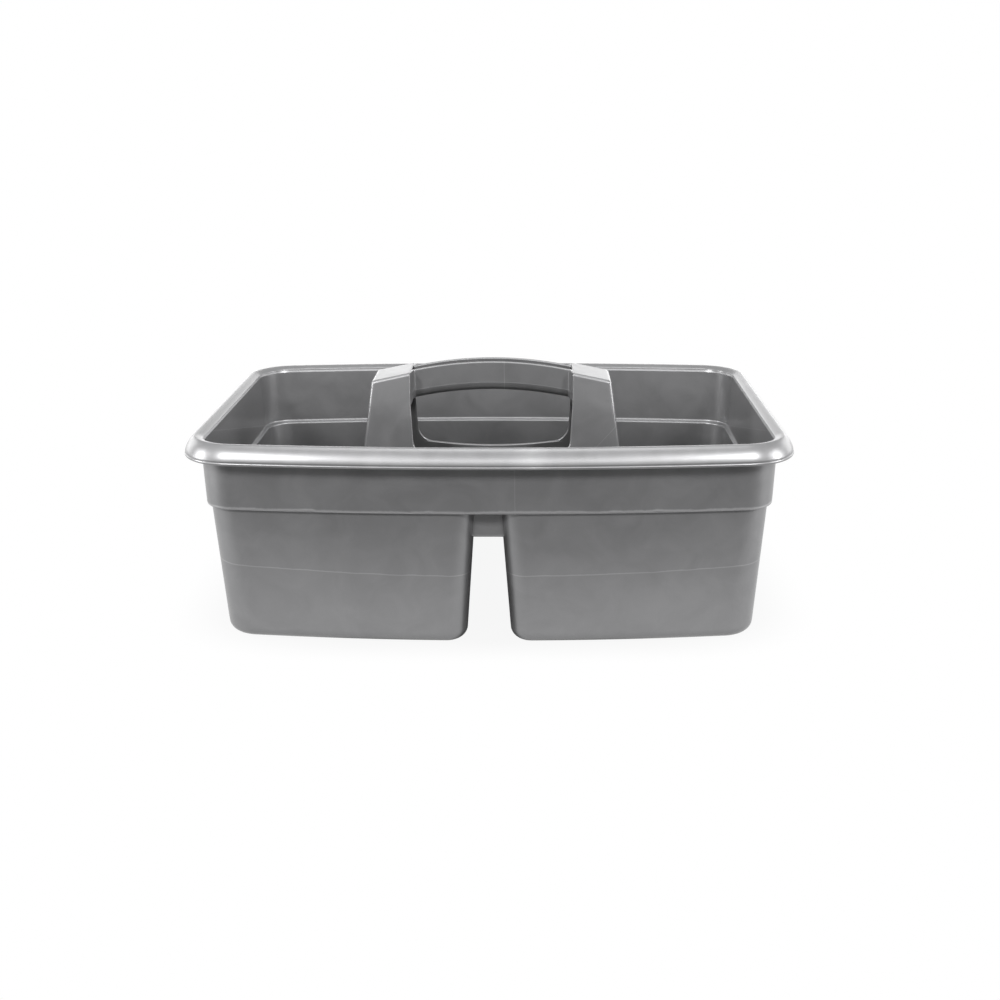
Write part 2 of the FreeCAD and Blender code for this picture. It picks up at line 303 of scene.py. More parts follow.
@dataclass(frozen=True)
class TubPlan:
    """Plan form shared by every level of the tub: straight ends, bowed long sides and round corners.

    A long side is a circle through the corners of the plain rectangle, which stands out by the crown at
    its middle. A corner is a circle that touches an end and a long side from inside.
    """

    crown: float = 11.6
    depth_inset: float = 73.1
    end_points: int = 12
    corner_points: int = 22
    side_points: int = 22
    middle_points: int = 30
    middle_share: float = 0.76

    def side(self, half: Number) -> tuple[Number, Number]:
        """Radius of a long side and the Y of its centre, as seen from the rear side."""
        radius = (half ** 2 + self.crown ** 2) / (2 * self.crown)
        return radius, half - self.depth_inset + self.crown - radius

    def corner_y(self, half: Number, x: Number, radius: Number) -> Number:
        """Y of the centre of a corner circle at x that touches the rear long side from inside."""
        side_radius, offset = self.side(half)
        return offset + np.sqrt((side_radius - radius) ** 2 - x ** 2)

    def depth(self, half: Number, x: Number) -> Number:
        """Y of the rear long side at x."""
        radius, offset = self.side(half)
        return offset + np.sqrt(radius ** 2 - x ** 2)

    def ring(self, half: Array, corner: Array) -> tuple[Array, Array]:
        """Closed plan loop, one row for each half length, and its outward normals.

        A quarter runs from the middle of an end over the corner to the middle of a long side, and is
        mirrored to the other three.

        Args:
            half: Half length of each row, as a column.
            corner: Corner radius of each row, as a column.

        Returns:
            Points and normals, rows by columns by two.
        """
        radius, offset = self.side(half)
        corner_x = half - corner
        corner_y = self.corner_y(half, corner_x, corner)
        turn = np.arctan2(corner_y - offset, corner_x)
        share = np.linspace(0, 1, self.end_points, endpoint=False)
        zero = np.zeros_like(half)
        end = np.stack([half + zero * share, corner_y * share, 1 + zero * share, zero * share], axis=-1)
        angle = turn * np.linspace(0, 1, self.corner_points, endpoint=False)
        cosine, sine = np.cos(angle), np.sin(angle)
        bend = np.stack([corner_x + corner * cosine, corner_y + corner * sine, cosine, sine], axis=-1)
        share = np.concatenate([
            np.linspace(0, self.middle_share, self.side_points, endpoint=False),
            np.linspace(self.middle_share, 1, self.middle_points),
        ])
        across = np.cos(turn) * (1 - share)
        along = np.sqrt(1 - across ** 2)
        long_side = np.stack([radius * across, offset + radius * along, across, along], axis=-1)
        quarter = np.concatenate([end, bend, long_side], axis=1)
        left, front = np.array([-1, 1, -1, 1]), np.array([1, -1, 1, -1])
        onward, back = quarter[:, :-1], quarter[:, :0:-1]
        loop = np.concatenate([onward, back * left, -onward, back * front], axis=1)
        return loop[..., :2], loop[..., 2:]


@dataclass(frozen=True)
class Moulding:
    """Sizes that several pieces of the moulding share."""

    plan: TubPlan = TubPlan()
    wall: float = 2.2
    band_top: float = 137.3
    band_top_half: float = 192.1
    band_foot_half: float = 190.1
    band_top_corner: float = 28.0
    band_foot_corner: float = 23.0
    band_foot: float = 95.0
    front_under: float = 74.9
    rear_under: float = 66.0
    apron_setback: float = 10.0
    apron_level: float = 84.0
    rear_trough_half: float = 39.0
    tower_wall: float = 2.4
    tower_half_x: float = 108.7
    tower_half_y: float = 32.5
    tower_draft_x: float = 0.143
    tower_draft_y: float = 0.077
    tower_corner: float = 2.5
    well_top_half: float = 187.3
    well_foot_half: float = 181.8
    well_top_corner: float = 21.0
    well_foot_corner: float = 22.0
    slot_front_half: float = 15.3
    slot_rear_half: float = 28.0
    slot_rise: float = 6.9
    slot_corner: float = 14.0

    @property
    def ledge_top(self) -> float:
        """Level of the ledge's upper face."""
        return self.band_foot + self.wall

    @property
    def apron_face(self) -> float:
        """Y of the front apron's outer face."""
        half = self.well_half(self.apron_level)
        return -(half - self.plan.depth_inset + self.plan.crown - self.apron_setback)

    @property
    def apron_back(self) -> float:
        """Y of the front apron's inner face."""
        return self.apron_face + self.wall

    def well_half(self, z: Number) -> Number:
        """Half length of the wells' outer faces at a level."""
        return between(self.well_foot_half, self.well_top_half, z / self.band_foot)

    def well_corner(self, z: Number) -> Number:
        """Outer corner radius of the wells at a level."""
        return between(self.well_foot_corner, self.well_top_corner, z / self.band_foot)

    def tower_x(self, z: Number) -> Number:
        """X of the tower's right end at a level."""
        return self.tower_half_x - self.tower_draft_x * z

    def tower_y(self, z: Number) -> Number:
        """Y of the tower's rear face at a level."""
        return self.tower_half_y - self.tower_draft_y * z

    def slot_turns(self, z: Number, inset: Number) -> "SlotTurns":
        """Corner circles where the right well's long sides turn into the slot.

        Args:
            z: Level.
            inset: Distance inside the well's outer face.

        Returns:
            The two circles, at the front and at the rear.
        """
        half = self.well_half(z) - inset
        radius = self.slot_corner - inset
        lean = inset - self.slot_rise * z / self.band_foot
        front_x = self.slot_front_half + lean + radius
        rear_x = self.slot_rear_half + lean + radius
        front_y = -self.plan.corner_y(half, front_x, radius)
        rear_y = self.plan.corner_y(half, rear_x, radius)
        return SlotTurns(radius, front_x, front_y, rear_x, rear_y)

    def slot_edge(self, y: Number, z: Number, inset: Number) -> Number:
        """X of the right well's slot side at a place along the slot.

        The side is the line that touches both corner circles, and past their centres the circles.

        Args:
            y: Place along the slot.
            z: Level.
            inset: Distance inside the well's outer face.

        Returns:
            The side's X.
        """
        turns = self.slot_turns(z, inset)
        normal_x, normal_y = turns.normal()
        lean = (turns.rear_x - turns.front_x) / (turns.rear_y - turns.front_y)
        touch_x = turns.front_x + turns.radius * normal_x
        line = touch_x + (y - turns.front_y - turns.radius * normal_y) * lean
        past_front = np.clip(turns.front_y - y, 0, turns.radius)
        past_rear = np.clip(y - turns.rear_y, 0, turns.radius)
        front = turns.front_x - np.sqrt(turns.radius ** 2 - past_front ** 2)
        rear = turns.rear_x - np.sqrt(turns.radius ** 2 - past_rear ** 2)
        return np.where(past_front > 0, front, np.where(past_rear > 0, rear, line))


@dataclass(frozen=True)
class SlotTurns:
    """Two equal corner circles at the ends of the slot's right side."""

    radius: Number
    front_x: Number
    front_y: Number
    rear_x: Number
    rear_y: Number

    def normal(self) -> tuple[Number, Number]:
        """Normal of the slot's side, towards the slot: square to the line between the circles.

        Returns:
            X and Y of the normal, which has the length one.
        """
        across, along = self.rear_x - self.front_x, self.rear_y - self.front_y
        length = np.hypot(across, along)
        return -along / length, across / length


@dataclass
class RolledRim:
    """Rolled lip round the top: a profile carried round the band's plan loop."""

    moulding: Moulding
    inner: float = 139.5
    crown: float = 141.8
    crown_out: float = 3.5
    reach: float = 10.85
    foot: float = 128.9
    roll_drop: float = 10.0
    roll_power: float = 1.4
    bead_radius: float = 1.2
    bead_proud: float = 0.45
    bead_end_deg: float = -165.0
    bead_gap: float = 0.6
    edge: float = 0.8

    def profile(self) -> Array:
        """Closed section as distance out from the band's face and level.

        A shallow arc rises from the rounded inner edge to the crown, a roll turns down into a short
        skirt, and the skirt ends in a bead. The circle of the shallow arc follows from its span and its
        rise. The roll is a quarter of a superellipse: sine and cosine of the turn, each raised to two
        over the roll's power, times its two half axes. The under side is made with half axes that are
        less by the wall, so the roll is a little thinner than the wall midway.

        Returns:
            Points of the section.
        """
        wall, base = self.moulding.wall, self.moulding.band_top
        span, rise = self.crown_out + wall, self.crown - self.inner
        arch = (span ** 2 + rise ** 2) / (2 * rise)
        arch_centre = (self.crown_out, self.crown - arch)
        lift = math.sqrt((arch - self.edge) ** 2 - (span - self.edge) ** 2)
        edge_centre = (self.edge - wall, arch_centre[1] + lift)
        edge_end = math.degrees(math.atan2(lift, self.edge - span))
        skirt = self.reach - self.bead_proud
        roll_foot = self.crown - self.roll_drop
        bead = (self.reach - self.bead_radius, self.foot + self.bead_radius)
        swing = math.degrees(math.acos((skirt - bead[0]) / self.bead_radius))
        neck = bead[1] + self.bead_radius * math.sin(math.radians(swing))
        inside = skirt - wall
        root = 180 - math.degrees(math.acos(self.crown_out / (arch - wall)))

        def roll(inset: float, count: int) -> Array:
            """Roll from the crown to the skirt.

            Args:
                inset: Distance inside its outer face.
                count: Number of points.

            Returns:
                Points of the section.
            """
            turn = np.linspace(0, math.pi / 2, count)
            shape = np.stack([np.sin(turn), np.cos(turn)], axis=-1) ** (2 / self.roll_power)
            axes = np.array([skirt - self.crown_out, self.roll_drop]) - inset
            return np.array([self.crown_out, roll_foot]) + axes * shape

        return np.concatenate([
            straight((-wall, base), edge_centre, 2),
            arc(edge_centre, self.edge, 180, edge_end, 5),
            arc(arch_centre, arch, edge_end, 90, 14)[1:],
            roll(0, 33)[1:],
            np.linspace((skirt, roll_foot), (skirt, neck), 4)[1:-1],
            arc(bead, self.bead_radius, swing, self.bead_end_deg, 18),
            straight((inside, bead[1] + self.bead_gap), (inside, roll_foot), 3, 0.1),
            roll(wall, 13)[::-1],
            arc(arch_centre, arch - wall, 90, root, 6)[1:],
            [[0, base], [-wall, base]],
        ])

    def build(self, material: bpy.types.Material) -> bpy.types.Object:
        """Carry the section round the loop.

        A point is the loop's point plus its normal times the section's distance out.

        Args:
            material: Finish of the piece.

        Returns:
            The new object.
        """
        m = self.moulding
        section = self.profile()
        loop, normal = m.plan.ring(np.array([[m.band_top_half]]), np.array([[m.band_top_corner]]))
        plan = loop + normal * section[:, :1, None]
        piece = Piece("rim", "rolled_rim")
        piece.add_tube(plan_and_level(plan, section[:, 1:]))
        return piece.build(material)


@dataclass
class UpperBand:
    """Wall under the rim with the ledge at its foot: an L section carried round the tub."""

    moulding: Moulding
    foot_round: float = 1.2
    ledge_round: float = 1.2
    ledge_fillet: float = 1.4
    ledge_tilt: float = 25.0
    ledge_margin: float = 0.3
    wall_points: int = 8
    foot_points: int = 8
    lip_points: int = 8
    bend_points: int = 7

    def ledge_reach(self, loop: Array) -> Array:
        """How much further the ledge reaches in where it passes over the slot at the front.

        Its edge follows the corner circles of the wells' inner faces up to the back of the apron.

        Args:
            loop: Plan points of the band's foot.

        Returns:
            Further reach at each point.
        """
        m = self.moulding
        turns = m.slot_turns(m.band_foot, m.wall)
        x = np.abs(loop[:, 0])
        nearest = np.minimum(x, turns.front_x + turns.radius)
        inside = m.plan.depth(m.well_half(m.band_foot) - m.wall, nearest)
        rest = np.clip(turns.radius ** 2 - (turns.front_x - x) ** 2, 0, None)
        edge = np.maximum(np.sqrt(rest) - turns.front_y, -m.apron_back)
        over_slot = (loop[:, 1] < 0) & (x < turns.front_x)
        return np.where(over_slot, np.clip(inside - edge, 0, None), 0)

    def build(self, material: bpy.types.Material) -> bpy.types.Object:
        """Carry the section round the tub.

        At each level the loop has the band's half length and corner there, and a point lies inside it
        by its distance from the outer face along the normal. The ledge rises towards the wall by its
        tilt, and over the slot at the front it reaches further in, in proportion to its distance from
        the wall.

        Args:
            material: Finish of the piece.

        Returns:
            The new object.
        """
        m = self.moulding
        ledge = m.band_foot_half - m.well_half(m.band_foot) + m.wall
        under, over, top = m.band_foot, m.ledge_top, m.band_top
        foot, nose, hollow = self.foot_round, self.ledge_round, self.ledge_fillet
        lip = arc((ledge - nose, under), nose, 0, 90 - self.ledge_tilt, self.lip_points)
        bend = arc((m.wall + hollow, 0), hollow, 270 - self.ledge_tilt, 180, self.bend_points)
        rise = (lip[-1, 0] - bend[0, 0]) * math.tan(math.radians(self.ledge_tilt))
        bend[:, 1] += lip[-1, 1] + rise - bend[0, 1]
        section = np.concatenate([
            straight((0, top), (0, under + foot), self.wall_points),
            arc((foot, under + foot), foot, 180, 270, self.foot_points),
            [[ledge - self.ledge_margin, under]],
            lip,
            bend,
            straight(tuple(bend[-1]), (m.wall, top), self.wall_points),
            [[m.wall, top]],
            straight((m.wall, top), (0, top), 2),
            [[0, top]],
        ])
        inset, level = section[:, :1], section[:, 1:]
        share = (level - under) / (top - under)
        half = between(m.band_foot_half, m.band_top_half, share)
        loop, normal = m.plan.ring(half, between(m.band_foot_corner, m.band_top_corner, share))
        reach = self.ledge_reach(loop[np.argmin(level)])
        along = np.clip((inset - m.wall - hollow) / (ledge - nose - m.wall - hollow), 0, 1)
        along = along * (level < over + hollow)
        plan = loop - normal * (inset + along * reach)[..., None]
        piece = Piece("band", "upper_band")
        piece.add_tube(plan_and_level(plan, level))
        return piece.build(material)


@dataclass
class Well:
    """Deep well with a C-shaped floor round the tower: a wall, a round foot and a floor on one grid."""

    moulding: Moulding
    hand: Hand
    foot_round: float = 8.0
    floor_bend: Pair = (40.0, 44.0)
    levels: tuple[float, ...] = (95.0, 94.6, 85.0, 74.9, 66.0, 50.0, 35.0, 20.0, 9.0)
    foot_steps: int = 11
    floor_shares: tuple[float, ...] = (0.01, 0.25, 0.5, 0.75, 1.0)
    apron_limits: Pair = (0.02, 0.5)
    slot_points: int = 9
    turn_points: int = 12
    side_points: int = 26
    corner_points: int = 22
    end_points: int = 14
    bridge_points: int = 6

    def outline(self, z: Array, inset: Array) -> Array:
        """Open plan path of the right well from the tower's front face round to its rear face.

        It runs along the slot, round the front slot corner, along the front, round the end and back.

        Args:
            z: Level of each row, as a column.
            inset: Distance inside the outer face of each row, as a column.

        Returns:
            Points, rows by columns by two.
        """
        m = self.moulding
        half = m.well_half(z) - inset
        radius, offset = m.plan.side(half)
        turns = m.slot_turns(z, inset)
        slot_angle = np.arctan2(*turns.normal()[::-1])
        corner = m.well_corner(z) - inset
        corner_x = half - corner
        corner_y = m.plan.corner_y(half, corner_x, corner)
        full = 2 * math.pi
        front_start = np.arctan2(turns.front_y + offset, turns.front_x) + full
        front_stop = np.arctan2(offset - corner_y, corner_x) + full
        rear_start = np.arctan2(corner_y - offset, corner_x)
        rear_bridge = np.arccos(m.rear_trough_half / radius)
        rear_stop = np.arctan2(turns.rear_y - offset, turns.rear_x)
        behind = np.clip((turns.front_y - m.apron_back) / turns.radius, *self.apron_limits)
        apron_angle = math.pi + np.arcsin(behind)

        def swing(x: Array, y: Array, r: Array, start: Array, stop: Array, count: int) -> Array:
            """Arc about a centre in each row, without its last point."""
            angle = between(start, stop, np.linspace(0, 1, count, endpoint=False))
            return np.stack([x + r * np.cos(angle), y + r * np.sin(angle)], axis=-1)

        def run(x0: Array, y0: Array, x1: Array, y1: Array, shares: Array) -> Array:
            """Straight run in each row."""
            return np.stack([between(x0, x1, shares), between(y0, y1, shares)], axis=-1)

        zero = np.zeros_like(z)
        face = m.tower_y(z)
        slot_front = turns.front_y + turns.radius * np.sin(slot_angle)
        slot_rear = turns.rear_y + turns.radius * np.sin(slot_angle)
        open_end = np.linspace(0, 1, self.slot_points, endpoint=False)
        ends = np.linspace(0, 1, self.end_points, endpoint=False)
        front_turn = (turns.front_x, turns.front_y, turns.radius)
        rear_turn = (turns.rear_x, turns.rear_y, turns.radius)
        edge = partial(m.slot_edge, z=z, inset=inset)
        return np.concatenate([
            run(edge(-face), -face, edge(slot_front), slot_front, open_end),
            swing(*front_turn, slot_angle, apron_angle, self.bridge_points),
            swing(*front_turn, apron_angle, front_start, self.turn_points),
            swing(zero, -offset, radius, front_start, front_stop, self.side_points),
            swing(corner_x, -corner_y, corner, front_stop, full + zero, self.corner_points),
            run(half, -corner_y, half, corner_y, ends),
            swing(corner_x, corner_y, corner, zero, rear_start, self.corner_points),
            swing(zero, offset, radius, rear_start, rear_bridge, self.side_points),
            swing(zero, offset, radius, rear_bridge, rear_stop, self.bridge_points),
            swing(*rear_turn, rear_stop, slot_angle, self.turn_points),
            run(edge(slot_rear), slot_rear, edge(face), face, np.linspace(0, 1, self.slot_points)),
        ], axis=1)

    def floor_edge(self, z: float, first: Array, last: Array) -> Array:
        """Points on the tower's outline that the floor runs to, one for each point of the outline.

        Args:
            z: Level of the floor.
            first: Where the outline starts, on the tower's front face.
            last: Where the outline ends, on the tower's rear face.

        Returns:
            Points, columns by two.
        """
        m = self.moulding
        half_x, half_y, corner = m.tower_x(z), m.tower_y(z), m.tower_corner
        near, far = self.floor_bend

        def along(start: float, stop: float, count: int, face: Face, closed: bool = False) -> Array:
            """Run along the tower's front or rear face."""
            x = np.linspace(start, stop, count, endpoint=closed)
            return np.stack([x, np.full_like(x, face.value * half_y)], axis=-1)

        side = half_x - corner
        end = np.linspace(corner - half_y, half_y - corner, self.end_points, endpoint=False)
        turn = self.turn_points
        return np.concatenate([
            along(first[0], near, self.slot_points + self.bridge_points, Face.FRONT),
            along(near, far, turn, Face.FRONT),
            along(far, side, self.side_points, Face.FRONT),
            arc((side, corner - half_y), corner, -90, 0, self.corner_points + 1)[:-1],
            np.stack([np.full_like(end, half_x), end], axis=-1),
            arc((side, half_y - corner), corner, 0, 90, self.corner_points + 1)[:-1],
            along(side, far, self.side_points, Face.REAR),
            along(far, near, self.bridge_points + turn, Face.REAR),
            along(near, last[0], self.slot_points, Face.REAR, True),
        ])

    def sheet(self, inset: float) -> Array:
        """Wall, round foot and floor at a distance inside the outer face.

        In the foot the outline moves in by the radius times one less the cosine while it sinks by the
        radius times one less the sine.

        Args:
            inset: Distance inside the outer face, which is also the level of this face of the floor.

        Returns:
            Points, rows by columns by three.
        """
        radius = self.foot_round - inset
        angle = np.linspace(0, math.pi / 2, self.foot_steps)
        level = np.concatenate([self.levels, inset + radius * (1 - np.sin(angle))])[:, None]
        inwards = np.concatenate([np.zeros(len(self.levels)), radius * (1 - np.cos(angle))])[:, None]
        walls = self.outline(level, inset + inwards)
        rim = walls[-1]
        target = self.floor_edge(inset, rim[0], rim[-1])
        floor = between(rim, target, np.array(self.floor_shares)[:, None, None])
        return np.concatenate([plan_and_level(walls, level), plan_and_level(floor, inset)])

    def build(self, material: bpy.types.Material) -> bpy.types.Object:
        """Make the wall between the outer and inner sheets, cut down where the bridges pass over it.

        Args:
            material: Finish of the piece.

        Returns:
            The new object.
        """
        m = self.moulding
        outer, inner = self.sheet(0), self.sheet(m.wall)
        keep = np.ones((outer.shape[0] - 1, outer.shape[1] - 1), bool)
        tops = np.array(self.levels)
        front = self.slot_points + self.bridge_points
        rear = self.slot_points - 1 + self.turn_points + self.bridge_points
        keep[:len(tops), :front] = (tops <= m.front_under)[:, None]
        keep[:len(tops), -rear:] = (tops <= m.rear_under)[:, None]
        piece = Piece(f"well_{self.hand.name.lower()}", f"{self.hand.name.lower()}_well")
        piece.add_shell(outer, inner, keep)
        return piece.mirror(self.hand).build(material)


@dataclass
class Bridge:
    """Saddle over the slot: an upright stretch of wall and a plate, on one grid across the slot."""

    moulding: Moulding
    face: Face
    nose_round: float = 2.0
    hollow_round: float = 3.0
    cross_points: int = 33
    wall_points: int = 6
    round_points: int = 8
    plate_points: int = 12
    plate_starts: Triple = (0.2, 0.3, 0.4)
    rear_wall_points: int = 7
    rear_plate_points: int = 16
    rear_gap: float = 0.05
    step: float = 0.02

    def front(self) -> tuple[Array, Array]:
        """Apron set back between the wells, and the plate behind it, as an outer and an inner path.

        Returns:
            Two arrays of half width, Y and level, with matching rows.
        """
        m = self.moulding
        face, back, foot = m.apron_face, m.apron_back, m.band_foot
        under, over = m.front_under, m.front_under + m.wall
        nose, hollow = self.nose_round, self.hollow_round
        rows, turn, plate = self.wall_points, self.round_points, self.plate_points
        tower, root = -m.tower_y(under), back + hollow
        first, second, third = self.plate_starts
        outer = np.concatenate([
            [[face, foot]],
            straight((face, foot), (face, under + nose), rows),
            arc((face + nose, under + nose), nose, 180, 270, turn),
            [[back - self.step, under], [back + self.step, under]],
            straight((back, under), (tower, under), plate),
            [[tower, under]],
        ])
        inner = np.concatenate([
            [[back, foot]],
            straight((back, foot), (back, over + hollow), rows),
            arc((root, over + hollow), hollow, 180, 270, turn),
            [[root + first, over], [root + second, over]],
            straight((root + third, over), (tower, over), plate),
            [[tower, over]],
        ])
        apron = np.arange(len(outer)) < 2 + rows + turn
        outside = m.slot_edge(outer[:, 0], outer[:, 1], 0)
        inside = m.slot_edge(np.minimum(inner[:, 0], back), inner[:, 1], 0)
        width_out = np.where(apron, outside, m.slot_edge(outer[:, 0], under, m.wall))
        width_in = np.where(apron, inside, m.slot_edge(inner[:, 0], over, m.wall))
        return np.column_stack([width_out, outer]), np.column_stack([width_in, inner])

    def rear(self, cross: Array) -> tuple[Array, Array]:
        """Wall flush with the wells' rear faces, and the plate before it.

        Args:
            cross: Shares of the half width, from -1 to 1.

        Returns:
            Outer and inner grid of points.
        """
        m = self.moulding
        under, over = m.rear_under, m.rear_under + m.wall
        levels = spaced(m.band_foot, over, self.rear_wall_points)
        x = np.broadcast_to(m.rear_trough_half * cross, (len(levels), len(cross)))
        half = m.well_half(levels)[:, None]
        z, base = np.broadcast_to(levels[:, None], x.shape), np.full_like(x[0], under)
        outer_wall = np.stack([x, m.plan.depth(half, x), z], axis=-1)
        inner_wall = np.stack([x, m.plan.depth(half - m.wall, x), z], axis=-1)
        foot = np.stack([x[0], m.plan.depth(m.well_half(under), x[0]), base], axis=-1)
        inside = np.stack([x[0], inner_wall[-1, :, 1], base], axis=-1)
        tower = m.tower_y(under)
        reach = m.slot_turns(over, m.wall)
        start = float(reach.rear_y + reach.radius) - self.rear_gap
        places = spaced(start, tower, self.rear_plate_points)[:, None]
        width = m.slot_edge(places, over, m.wall)
        plate = np.stack([width * cross, np.broadcast_to(places, (len(places), len(cross)))], axis=-1)
        outer = np.concatenate([outer_wall, foot[None], inside[None], plan_and_level(plate, under)])
        last = inner_wall[-1:]
        inner = np.concatenate([inner_wall, last, last, plan_and_level(plate, over)])
        return outer, inner

    def build(self, material: bpy.types.Material) -> bpy.types.Object:
        """Make the saddle of this side: across the slot a point is a share of the half width.

        Args:
            material: Finish of the piece.

        Returns:
            The new object.
        """
        cross = np.linspace(-1, 1, self.cross_points)
        name = self.face.name.lower()
        piece = Piece(f"bridge_{name}", f"{name}_bridge")
        if self.face is Face.FRONT:
            grids = []
            for path in self.front():
                x = path[:, :1] * cross
                rest = np.broadcast_to(path[:, None, 1:], (*x.shape, 2))
                grids.append(np.concatenate([x[..., None], rest], axis=-1))
            piece.add_shell(*grids)
        else:
            piece.add_shell(*self.rear(cross))
        return piece.build(material)


@dataclass(frozen=True)
class HandHole:
    """Opening through the tower under the grip, in the plane across the depth."""

    corner_half: float = 43.7
    foot_middle: float = 101.9
    foot_end: float = 104.7
    corner: float = 13.0
    top_half: float = 58.2
    straight_level: float = 144.0
    edge_round: float = 1.0
    edge_steps: tuple[float, ...] = (0.0, 0.06, 0.22, 0.5, 0.8, 1.05, 1.5)

    @property
    def corner_top(self) -> float:
        """Level at which a corner runs into a side."""
        return self.foot_end + self.corner

    def foot(self, x: Number) -> Number:
        """Level of the lower edge: a shallow circle through its middle and its two ends.

        Args:
            x: Place along the length.

        Returns:
            The level.
        """
        sag = self.foot_end - self.foot_middle
        radius = (self.corner_half ** 2 + sag ** 2) / (2 * sag)
        reach = np.minimum(np.abs(x), self.corner_half)
        return self.foot_middle + radius - np.sqrt(radius ** 2 - reach ** 2)

    def side(self, z: Number) -> Number:
        """X of the right edge: a corner circle, a leaning line and an upright line.

        Args:
            z: Level.

        Returns:
            The edge's X.
        """
        low = np.clip(self.corner_top - z, 0, self.corner)
        bend = self.corner_half + np.sqrt(self.corner ** 2 - low ** 2)
        share = np.clip((z - self.corner_top) / (self.straight_level - self.corner_top), 0, 1)
        lean = between(self.corner_half + self.corner, self.top_half, share)
        return np.where(z < self.foot_end, self.corner_half, np.where(z < self.corner_top, bend, lean))

    def distance(self, x: Array, z: Array) -> Array:
        """Distance of a point of the tower's face from the opening's edge.

        It is the depth under the lower edge, the distance outside the corner's circle, or the distance
        beside the side edge.

        Args:
            x: Place along the length.
            z: Level.

        Returns:
            The distance.
        """
        x = np.abs(x)
        below = self.foot(x) - z
        bend = np.hypot(x - self.corner_half, self.corner_top - z) - self.corner
        beside = np.where(z < self.corner_top, bend, x - self.side(z))
        return np.where(x <= self.corner_half, below, beside)


